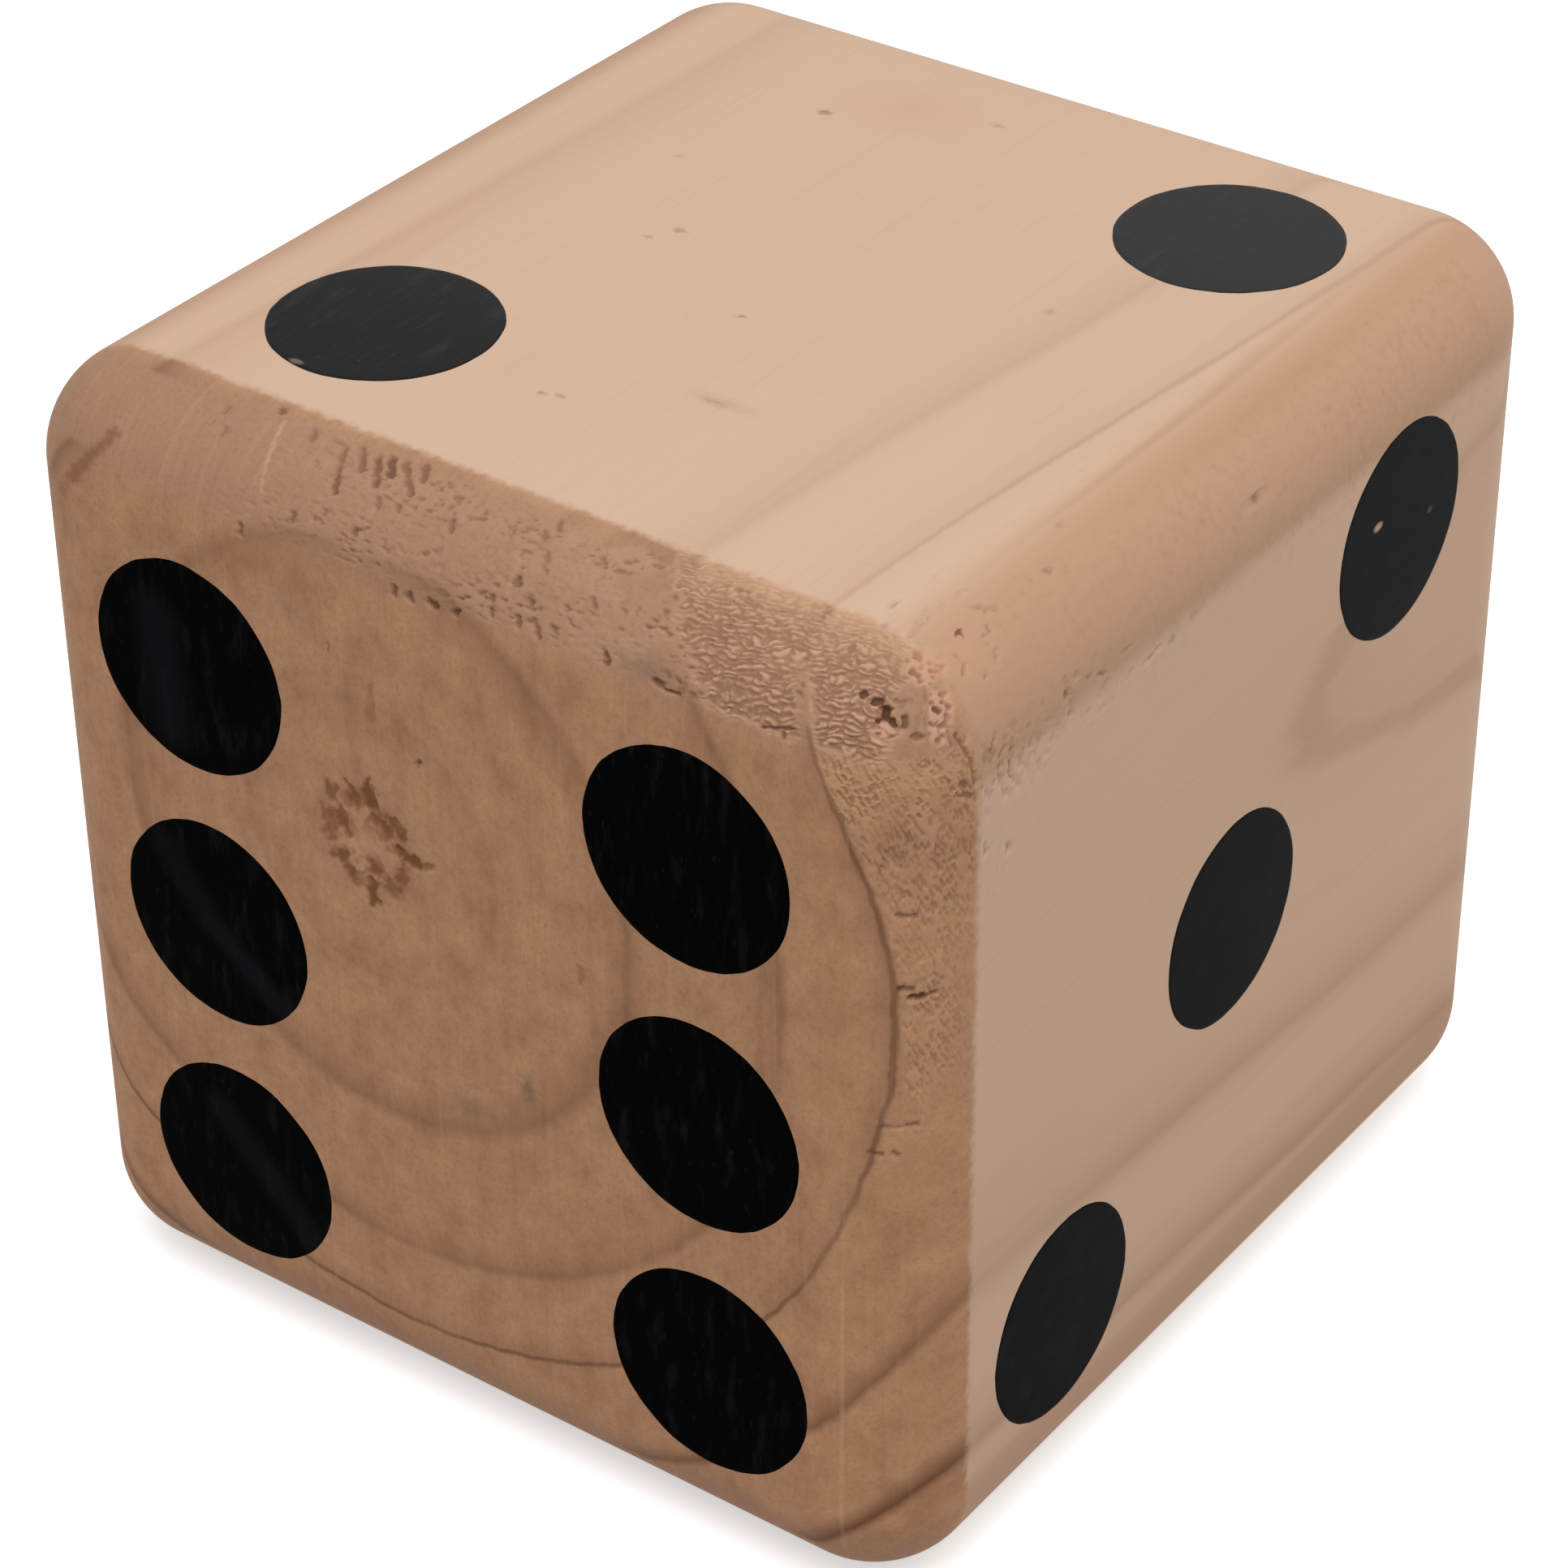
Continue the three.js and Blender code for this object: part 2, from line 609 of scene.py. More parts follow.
    # Marks on single places, with uneven outlines
    ragged_drift: Drift = Drift((0.75, 0.75, 0.75), 1.1)
    waving_drift: Drift = Drift((4.0, 30.0, 4.0), 1.6)
    cloudy_drift: Drift = Drift((5.0, 5.0, 5.0), 3.0)
    soft_core: float = -0.2
    dirt_colour: Colour = shade(88, 50, 26)
    top_specks: tuple[Mark, ...] = (
        Mark((-15.9, 26.5, 89.0), (0.9, 0.6, 2.0), 0.5),
        Mark((-2.3, 32.9, 89.0), (1.0, 0.5, 2.0), 0.3),
        Mark((-12.9, 1.6, 89.0), (0.8, 0.5, 2.0), 0.4),
        Mark((-14.5, -0.8, 89.0), (0.7, 0.4, 2.0), 0.3),
        Mark((0.1, -7.5, 89.0), (0.6, 0.45, 2.0), 0.55),
        Mark((-5.2, -26.5, 89.0), (0.5, 0.45, 2.0), 0.45),
        Mark((-3.8, -26.0, 89.0), (0.7, 0.4, 2.0), 0.35),
        Mark((19.8, 7.4, 89.0), (0.8, 0.7, 2.0), 0.25),
        Mark((-21.2, 12.5, 89.0), (0.7, 0.5, 2.0), 0.2),
        Mark((6.6, -19.9, 89.0), (1.4, 0.4, 2.0), 0.22),
    )
    face_specks: tuple[Mark, ...] = (
        Mark((-1.6, -47.7, 67.3), (0.6, 2.0, 0.45), 0.95),
        Mark((-10.0, -47.7, 74.8), (0.3, 2.0, 0.7), 0.6),
    )
    smudge_colour: Colour = shade(108, 93, 76)
    smudges: tuple[Mark, ...] = (
        Mark((7.2, -19.6, 89.0), (4.2, 1.2, 2.0), 0.22),
        Mark((8.0, -47.7, 39.9), (1.1, 2.0, 2.4), 0.8),
        Mark((2.7, -47.7, 35.4), (4.6, 2.0, 1.3), 0.3),
        Mark((20.5, -47.2, 83.6), (3.4, 2.0, 1.5), 0.45),
        Mark((-14.0, -47.7, 76.7), (1.1, 2.0, 1.1), 0.35),
        Mark((44.5, -12.9, 77.4), (2.0, 0.7, 0.6), 0.55),
        Mark((44.5, -9.4, 78.0), (2.0, 1.4, 0.8), 0.25),
    )
    saw_line_colour: Colour = shade(120, 86, 62)
    saw_lines: tuple[Mark, ...] = (
        Mark((18.3, -47.7, 54.0), (0.45, 2.0, 14.0), 0.22),
        Mark((14.7, -47.7, 54.0), (0.4, 2.0, 12.0), 0.14),
        Mark((31.0, -47.7, 55.0), (0.5, 2.0, 16.0), 0.2),
        Mark((-8.0, -47.7, 70.0), (0.9, 2.0, 9.0), 0.14),
        Mark((-3.6, -47.7, 68.0), (0.7, 2.0, 7.0), 0.12),
    )
    grain_line_colour: Colour = shade(150, 104, 74)
    grain_lines: tuple[Mark, ...] = (
        Mark((37.1, 2.0, 88.8), (0.8, 42.0, 3.0), 0.2),
        Mark((40.0, 6.0, 87.6), (1.6, 34.0, 1.6), 0.12),
    )
    rosy_patches: tuple[Mark, ...] = (
        Mark((41.0, -36.2, 86.9), (4.0, 5.0, 4.0), 0.55),
        Mark((-10.0, 31.0, 89.0), (8.0, 6.0, 3.0), 0.35),
    )
    fleck_colour: Colour = shade(124, 88, 62)
    fleck_grain: Grain = Grain((0.6, 0.6, 1.1))
    fleck_share: Fade = Fade(0.6, 0.7)
    fleck_zones: tuple[Mark, ...] = (
        Mark((44.5, -33.0, 78.2), (3.0, 8.0, 3.0), 0.25),
        Mark((44.5, -36.8, 70.0), (2.0, 1.8, 7.0), 0.25),
    )
    red_colour: Colour = shade(126, 52, 40)
    red_spots: tuple[Mark, ...] = (
        Mark((39.8, -35.1, 87.7), (0.45, 0.6, 0.6), 0.85),
    )

    def from_pith(self, board: NodeBoard, place: NodeSocket) -> NodeSocket:
        """Work out the distance from the leaning pith.

        Args:
            board: Board to add nodes to.
            place: Place on the block in millimetres.

        Returns:
            The distance in millimetres, along rings that are a little flattened and off centre.
        """
        axes = board.node("ShaderNodeSeparateXYZ")
        board.feed(axes.inputs[0], place)
        across, along, upward = axes.outputs
        share = board.fade(along, self.pith_lean)
        lean_x = self.pith_back[0] - self.pith_front[0]
        lean_z = self.pith_back[1] - self.pith_front[1]
        pith_x = board.math("ADD", board.math("MULTIPLY", share, lean_x), self.pith_front[0])
        pith_z = board.math("ADD", board.math("MULTIPLY", share, lean_z), self.pith_front[1])
        offset = board.node("ShaderNodeCombineXYZ")
        board.feed(offset.inputs[0], board.math("SUBTRACT", across, pith_x))
        board.feed(offset.inputs[2], board.math("SUBTRACT", upward, pith_z))
        flat = (self.ring_flatness[0], 0.0, self.ring_flatness[1])
        radius = board.length(board.vector("MULTIPLY", offset.outputs[0], flat))
        lean = board.node("ShaderNodeVectorMath", operation="DOT_PRODUCT")
        board.feed(lean.inputs[0], offset.outputs[0])
        lean.inputs[1].default_value = (self.ring_lean[0], 0.0, self.ring_lean[1])
        return board.math("SUBTRACT", radius, lean.outputs["Value"])

    def ring_stops(self) -> tuple[list[Pair], list[Pair]]:
        """List how dark the rings' lines and bands are at each share of the reach.

        Returns:
            The stops of the lines and the stops of the bands.
        """
        lines = [(0.0, 0.0)]
        bands = [(0.0, 0.0)]
        for ring in self.rings:
            profile = ((-ring.fade, 0.0), (-ring.width, 0.5), (0.0, 1.0), (ring.width, 0.0))
            for step, level in profile:
                lines.append(((ring.radius + step) / self.ring_reach, ring.line * level))
            for step, level in self.band_profile:
                bands.append(((ring.radius + step) / self.ring_reach, ring.band * level))
        return lines, bands

    def rings_at(self, board: NodeBoard, place: NodeSocket,
                 distance: NodeSocket) -> tuple[NodeSocket, NodeSocket]:
        """Draw the growth rings, which wander a little and fade here and there.

        Args:
            board: Board to add nodes to.
            place: Place on the block in millimetres.
            distance: Distance from the pith in millimetres.

        Returns:
            How dark the rings' lines and bands are.
        """
        wander = board.math("SUBTRACT", board.noise(place, self.wander_grain), 0.5)
        ripple = board.math("SUBTRACT", board.noise(place, self.ripple_grain), 0.5)
        bent = board.math("ADD", distance, board.math("MULTIPLY", wander, self.ring_wander))
        bent = board.math("ADD", bent, board.math("MULTIPLY", ripple, self.ring_ripple))
        share = board.math("DIVIDE", bent, self.ring_reach, clamp=True)
        lines, bands = self.ring_stops()
        fading = board.fade(board.noise(place, self.fading_grain), self.fading)
        fading = board.math("MULTIPLY", fading, self.fading_amount)
        fading = board.math("ADD", fading, 1 - self.fading_amount)
        away = board.math("ABSOLUTE", board.math("SUBTRACT", bent, self.sharp_ring))
        sharp = board.ramp(share, lines), board.fade(away, self.sharp_line)
        line = board.math("MULTIPLY", board.math("MAXIMUM", *sharp), fading)
        return line, board.ramp(share, bands)

    def which_grain(self, board: NodeBoard, place: NodeSocket) -> tuple[NodeSocket, NodeSocket]:
        """Tell where end grain and where routed edges show, with edges that broken fibres leave ragged.

        Args:
            board: Board to add nodes to.
            place: Place on the block in millimetres.

        Returns:
            How much end grain and how much routed edge each place is.
        """
        ragged = board.math("SUBTRACT", board.noise(place, self.ragged_grain), 0.5)
        uneven = board.layer(WoodSide.END), board.math("MULTIPLY", ragged, self.ragged_width)
        end = board.fade(board.math("ADD", *uneven), self.end_edge)
        streak = board.math("SUBTRACT", board.noise(place, self.streak_grain), 0.5)
        uneven = board.layer(WoodSide.ROUTED), board.math("MULTIPLY", streak, self.streak_width)
        return end, board.fade(board.math("ADD", *uneven), self.routed_edge)

    def along_grain(self, board: NodeBoard, place: NodeSocket, routed: NodeSocket,
                    line: NodeSocket, band: NodeSocket) -> NodeSocket:
        """Colour the wood along the grain.

        Args:
            board: Board to add nodes to.
            place: Place on the block in millimetres.
            routed: How much routed edge each place is.
            line: How dark the rings' lines are.
            band: How dark the rings' bands are.

        Returns:
            The colour.
        """
        soft = board.noise(place, self.soft_grain)
        colour = board.veil(self.side_colour, soft, self.soft_veil)
        colour = board.blend(routed, colour, self.routed_colour)
        colour = board.blend(board.math("MULTIPLY", band, self.band_amount), colour, self.band_colour)
        colour = board.blend(board.math("MULTIPLY", line, self.line_amount), colour, self.line_colour)
        return board.veil(colour, board.noise(place, self.fibre_grain), self.fibre_veil)

    def across_grain(self, board: NodeBoard, place: NodeSocket, distance: NodeSocket, line: NodeSocket,
                     mottle: NodeSocket) -> tuple[NodeSocket, NodeSocket]:
        """Colour the end grain: blotches, painted shade on its top edges, growth rings, saw marks and
        pores.

        Args:
            board: Board to add nodes to.
            place: Place on the block in millimetres.
            distance: Distance from the pith in millimetres.
            line: How dark the rings' lines are.
            mottle: Noise of the blotches.

        Returns:
            The colour, and the noise of the pores.
        """
        colour = board.veil(self.end_colour, mottle, self.dark_blotches)
        colour = board.veil(colour, mottle, self.light_blotches)
        # Painted shade on the top round-overs of the end faces
        colour = board.blend(board.layer(WoodSide.TOP_EDGE), colour, self.shaded_top_edge_colour)
        growth = board.node("ShaderNodeCombineXYZ")
        board.feed(growth.inputs[0], distance)
        colour = board.veil(colour, board.noise(growth.outputs[0], self.growth_grain), self.growth_veil)
        clear = board.fade(board.layer(WoodSide.TOP_EDGE), self.ring_clear)
        colour = board.blend(board.math("MULTIPLY", line, clear), colour, self.ring_colour)
        saw = board.noise(place, self.saw_grain)
        colour = board.veil(colour, saw, self.saw_shadows)
        colour = board.veil(colour, saw, self.saw_lights)
        pores = board.noise(place, self.pore_grain)
        return board.veil(colour, pores, self.pore_veil), pores

    def crumbled_pith(self, board: NodeBoard, place: NodeSocket, distance: NodeSocket, end: NodeSocket,
                      colour: NodeSocket) -> NodeSocket:
        """Colour the pith, which is torn out in crumbs.

        Args:
            board: Board to add nodes to.
            place: Place on the block in millimetres.
            distance: Distance from the pith in millimetres.
            end: How much end grain each place is.
            colour: Colour of the wood below.

        Returns:
            The colour.
        """
        crumbs = board.noise(place, self.crumb_grain)
        loose = board.math("ADD", distance, board.math("MULTIPLY", crumbs, self.crumb_pull))
        crown = board.fade(loose, self.crumb_outside), board.fade(distance, self.crumb_inside)
        crumbled = board.math("MULTIPLY", *crown), board.fade(crumbs, self.crumb_share)
        crumbled = board.math("MULTIPLY", *crumbled)
        crumbled = board.math("MULTIPLY", crumbled, end)
        colour = board.veil(colour, distance, self.pith_glow)
        colour = board.blend(crumbled, colour, self.crumb_colour)
        return board.blend(board.layer(WoodSide.STAIN), colour, self.pith_colour)

    def torn_places(self, board: NodeBoard, place: NodeSocket, mottle: NodeSocket,
                    colour: NodeSocket) -> tuple[NodeSocket, NodeSocket]:
        """Colour the torn, frayed and crushed places, with pale fibres and painted highlights on their
        crests, and darken all that is hollow with painted shade and some dirt.

        Args:
            board: Board to add nodes to.
            place: Place on the block in millimetres.
            mottle: Noise of the end grain's blotches.
            colour: Colour of the wood below.

        Returns:
            The colour, and how torn each place is.
        """
        hollow = board.layer(WoodSide.HOLLOW)
        torn = board.layer(WoodSide.TORN)
        clump = board.layer(WoodSide.CLUMP)
        frayed = board.layer(WoodSide.FRAYED)
        flush = board.fade(board.noise(place, self.flush_grain), self.flush_share)
        colour = board.blend(board.math("MULTIPLY", torn, flush), colour, self.rosy_colour)
        colour = board.blend(board.math("MULTIPLY", frayed, self.frayed_flush), colour, self.rosy_colour)
        stained = board.math("MULTIPLY", mottle, self.clump_mottle)
        stained = board.math("ADD", stained, self.clump_least, clamp=True)
        colour = board.blend(board.math("MULTIPLY", clump, stained), colour, self.clump_colour)
        # Pale fibres and painted highlight where torn places stand highest
        lifted = board.math("MAXIMUM", torn, board.math("MULTIPLY", frayed, self.frayed_lift))
        crest = board.math("MULTIPLY", lifted, board.fade(hollow, self.pale_and_highlight_share))
        colour = board.blend(crest, colour, self.pale_fibre_and_highlight_colour)
        # Painted shade and some dirt, darker the deeper the hollow
        for veil in self.hollow_shade_and_dirt_veils:
            colour = board.veil(colour, hollow, veil)
        return colour, torn

    def marked(self, board: NodeBoard, place: NodeSocket, colour: NodeSocket) -> NodeSocket:
        """Draw the specks, smudges and scratches.

        Args:
            board: Board to add nodes to.
            place: Place on the block in millimetres.
            colour: Colour of the wood below.

        Returns:
            The colour.
        """
        uneven = board.drift(place, self.ragged_drift)
        waving = board.drift(place, self.waving_drift)
        cloudy = board.drift(place, self.cloudy_drift)
        rosy = board.marks(cloudy, self.rosy_patches, self.soft_core)
        colour = board.blend(rosy, colour, self.rosy_colour)
        smudged = board.marks(uneven, self.smudges, self.soft_core)
        colour = board.blend(smudged, colour, self.smudge_colour)
        colour = board.blend(board.marks(waving, self.saw_lines), colour, self.saw_line_colour)
        colour = board.blend(board.marks(waving, self.grain_lines, 0.0), colour, self.grain_line_colour)
        dashes = board.fade(board.noise(place, self.fleck_grain), self.fleck_share)
        flecks = board.marks(uneven, self.fleck_zones, self.soft_core)
        colour = board.blend(board.math("MULTIPLY", flecks, dashes), colour, self.fleck_colour)
        specks = self.top_specks + self.face_specks
        colour = board.blend(board.marks(uneven, specks, 0.0), colour, self.dirt_colour)
        return board.blend(board.marks(uneven, self.red_spots), colour, self.red_colour)

    def bump(self, board: NodeBoard, place: NodeSocket, end: NodeSocket, torn: NodeSocket) -> NodeSocket:
        """Raise the fibres, pores and torn specks that are finer than the mesh.

        Args:
            board: Board to add nodes to.
            place: Place on the block in millimetres.
            end: How much end grain each place is.
            torn: How torn each place is.

        Returns:
            The uneven surface's direction.
        """
        fibres = board.noise(place, self.fine_fibres)
        pores = board.noise(place, self.fine_pores)
        fibres = board.math("MULTIPLY", fibres, board.math("SUBTRACT", 1.0, end))
        fibres = board.math("MULTIPLY", fibres, self.fibre_height)
        pores = board.math("MULTIPLY", board.math("MULTIPLY", pores, end), self.pore_height)
        fine = board.math("ADD", fibres, pores)
        specks = board.math("MULTIPLY", board.noise(place, self.fine_specks), torn)
        height = board.math("ADD", fine, board.math("MULTIPLY", specks, self.speck_height))
        return board.raised(height, MM)

    def make(self) -> Material:
        """Make the material.

        Returns:
            The finished material.
        """
        material = bpy.data.materials.new("bare_pine")
        material.use_nodes = True
        board = NodeBoard(material.node_tree)
        place = board.millimetres()
        distance = self.from_pith(board, place)
        line, band = self.rings_at(board, place, distance)
        end, routed = self.which_grain(board, place)
        side = self.along_grain(board, place, routed, line, band)
        mottle = board.noise(place, self.mottle_grain)
        ends, pores = self.across_grain(board, place, distance, line, mottle)
        colour = board.blend(end, side, ends)
        colour = self.crumbled_pith(board, place, distance, end, colour)
        colour, torn = self.torn_places(board, place, mottle, colour)
        colour = self.marked(board, place, colour)
        shader = board.node("ShaderNodeBsdfPrincipled")
        board.feed(shader.inputs["Base Color"], colour)
        shader.inputs["Specular IOR Level"].default_value = self.specular
        rough = board.math("MULTIPLY", pores, self.pore_roughness)
        rough = board.math("ADD", rough, self.roughness - self.pore_roughness / 2)
        board.feed(shader.inputs["Roughness"], rough)
        board.feed(shader.inputs["Normal"], self.bump(board, place, end, torn))
        board.show(shader)
        return material


@dataclass(frozen=True)
class PaintFinish:
    """Black stencil paint, thin enough for the grain to show through, with scuffs."""

    coat: PaintCoat
    # Painted light: the body colour grows lighter from the near colour to the far colour towards the back
    # end
    near_colour: Colour
    far_lit_colour: Colour
    worn_colour: Colour
    roughness: float
    specular: float
    farther_lit: Fade = Fade(-45.0, 45.0)
    streak_grain: Grain = Grain((1.3, 7.0, 5.0), 3.0, 0.6)
    streak_share: Fade = Fade(0.5, 0.8, 0.35)
    streak_roughness: float = 0.2
    dust_grain: Grain = Grain((0.45, 0.6, 1.3), 3.0, 0.65)
    dust_share: Fade = Fade(0.62, 0.8, 0.5)
    fibre_grain: Grain = Grain((0.5, 5.0, 1.5), 3.0, 0.6)
    fibre_height: float = 0.03
    sheen_colour: Colour = shade(30, 31, 35)
    sheens: tuple[Stroke, ...] = (
        Stroke((-28.4, -47.7, 71.0), (-27.6, -47.7, 61.0), 3.6, 0.36),
        Stroke((-29.6, -47.7, 48.2), (-25.4, -47.7, 42.4), 2.6, 0.3),
        Stroke((-25.4, -47.7, 42.4), (-15.6, -47.7, 34.6), 2.0, 0.45),
        Stroke((-25.8, -47.7, 22.4), (-15.4, -47.7, 11.6), 2.6, 0.34),
    )
    bare_colour: Colour = shade(205, 178, 155)
    chips: tuple[Mark, ...] = (
        Mark((44.5, 19.1, 71.7), (2.0, 0.8, 0.45), 0.8),
        Mark((44.5, 27.9, 69.1), (2.0, 0.5, 0.4), 0.12),
        Mark((-24.2, -33.7, 89.0), (0.8, 0.4, 2.0), 0.25),
    )

    def make(self) -> Material:
        """Make the material.

        Returns:
            The finished material.
        """
        material = bpy.data.materials.new(f"stencil_paint_{self.coat.value}")
        material.use_nodes = True
        board = NodeBoard(material.node_tree)
        place = board.millimetres()
        axes = board.node("ShaderNodeSeparateXYZ")
        board.feed(axes.inputs[0], place)
        # Painted light, lighter towards the back end
        farther_lit = board.fade(axes.outputs[1], self.farther_lit)
        colour = board.blend(farther_lit, self.near_colour, self.far_lit_colour)
        streaks = board.noise(place, self.streak_grain)
        colour = board.blend(board.fade(streaks, self.streak_share), colour, self.worn_colour)
        dust = board.noise(place, self.dust_grain)
        colour = board.blend(board.fade(dust, self.dust_share), colour, self.worn_colour)
        if self.coat is PaintCoat.SOAKED:
            colour = board.blend(board.strokes(place, self.sheens), colour, self.sheen_colour)
        colour = board.blend(board.marks(place, self.chips), colour, self.bare_colour)
        shader = board.node("ShaderNodeBsdfPrincipled")
        board.feed(shader.inputs["Base Color"], colour)
        shader.inputs["Specular IOR Level"].default_value = self.specular
        rough = board.math("MULTIPLY", streaks, self.streak_roughness)
        rough = board.math("ADD", rough, self.roughness - self.streak_roughness / 2)
        board.feed(shader.inputs["Roughness"], rough)
        fibres = board.noise(place, self.fibre_grain)
        board.feed(shader.inputs["Normal"], board.raised(fibres, self.fibre_height * MM))
        board.show(shader)
        return material


@dataclass(frozen=True)
class Speckle:
    """Random unevenness: the size of its bumps both ways, which noise it is, and its amount."""

    first: float
    second: float
    seed: float
    amount: float = 1.0

    def at(self, first: np.ndarray, second: np.ndarray) -> np.ndarray:
        """Give the unevenness at each point of an unrolled surface."""
        return self.amount * noise_at(first / self.first, second / self.second, self.seed)


@dataclass(frozen=True)
class BrokenRows:
    """Wavy rows of short pieces, as torn fibres leave them."""

    pitch: float
    length: float
    turn: float
    bend: float
    evenness: float
    seed: float
    row_shift: float = 7.0
    piece_start: Fade = Fade(0.0, 0.2)
    piece_end: Fade = Fade(1.0, 0.8)
    row_start: Fade = Fade(0.0, 0.45)
    row_end: Fade = Fade(1.0, 0.5)

    def scatter(self, first: np.ndarray, second: np.ndarray | float) -> np.ndarray:
        """Give each pair of whole numbers a number of its own between 0 and 1."""
        value = np.sin(first * 12.9898 + second * 78.233 + self.seed) * 43758.5453
        return value - np.floor(value)

    def height(self, first: np.ndarray, second: np.ndarray) -> np.ndarray:
        """Work out how far the pieces stand out.

        Args:
            first: First coordinate of each point on the unrolled surface.
            second: Second coordinate of each point.

        Returns:
            The height at each point, 0 between the pieces and up to 1 on them.
        """
        run = first * math.cos(self.turn) + second * math.sin(self.turn)
        step = second * math.cos(self.turn) - first * math.sin(self.turn)
        bend = Speckle(2.6, 2.0, self.seed).at(run, step)
        bend = bend + Speckle(0.8, 0.7, self.seed + 4.6, 0.55).at(run, step)
        turns = step / self.pitch + self.bend * bend
        row = np.floor(turns)
        share = turns - row
        slip = Speckle(0.7, 0.7, self.seed + 9.2, 0.4).at(run, step)
        place = run / self.length + self.row_shift * self.scatter(row, 0.0) + slip
        piece = np.floor(place)
        within = place - piece
        taper = self.piece_start.at(within) * self.piece_end.at(within)
        profile = self.row_start.at(share) * self.row_end.at(share)
        return taper * profile * (self.evenness + (1 - self.evenness) * self.scatter(row, piece))


@dataclass(frozen=True)
class Gouge:
    """A pit or groove between two places on an unrolled surface, with its half width and depth."""

    start: Pair
    end: Pair
    width: float
    depth: float
    edge: Fade = Fade(1.25, 0.4)

    def cut(self, first: np.ndarray, second: np.ndarray, ragged: np.ndarray) -> np.ndarray:
        """Work out how deep the gouge is.

        Args:
            first: First coordinate of each point on the unrolled surface.
            second: Second coordinate of each point.
            ragged: How far the outline is moved at each point, as a share of the width.

        Returns:
            The depth at each point.
        """
        run_first = self.end[0] - self.start[0]
        run_second = self.end[1] - self.start[1]
        from_first = first - self.start[0]
        from_second = second - self.start[1]
        square = max(run_first ** 2 + run_second ** 2, 1e-9)
        share = np.clip((from_first * run_first + from_second * run_second) / square, 0, 1)
        away = np.hypot(from_first - share * run_first, from_second - share * run_second)
        return self.depth * self.edge.at(away / self.width + ragged)


@dataclass(frozen=True)
class GougeGroup:
    """Gouges with outlines that are ragged in one way out of many."""

    seed: float
    gouges: tuple[Gouge, ...]

    def depth(self, first: np.ndarray, second: np.ndarray) -> np.ndarray:
        """Cut the gouges.

        Args:
            first: First coordinate of each point on the unrolled surface.
            second: Second coordinate of each point.

        Returns:
            The depth at each point.
        """
        ragged = Speckle(0.5, 0.5, self.seed, 0.65).at(first, second)
        ragged = ragged + Speckle(0.25, 0.25, self.seed, 0.25).at(first, second)
        depth = np.zeros(len(first))
        for gouge in self.gouges:
            depth = np.maximum(depth, gouge.cut(first, second, ragged))
        return depth


@dataclass(frozen=True)
class Slant:
    """A line over an edge: its place at one level, its lean per millimetre, and how it sways."""

    place: float
    lean: float
    level: float
    sway: float

    def at(self, climb: np.ndarray, uneven: np.ndarray) -> np.ndarray:
        """Give the line's place at each distance over the edge."""
        return self.place - self.lean * (climb - self.level) + self.sway * uneven


@dataclass(frozen=True)
class Oval:
    """An oval on an unrolled surface, by its middle and its half widths."""

    middle: Pair
    half: Pair

    def share(self, first: np.ndarray, second: np.ndarray) -> np.ndarray:
        """Measure the distance from the middle.

        Args:
            first: First coordinate of each point on the unrolled surface.
            second: Second coordinate of each point.

        Returns:
            The distance at each point, 1 on the oval's outline.
        """
        across = (first - self.middle[0]) / self.half[0]
        up = (second - self.middle[1]) / self.half[1]
        return np.hypot(across, up)


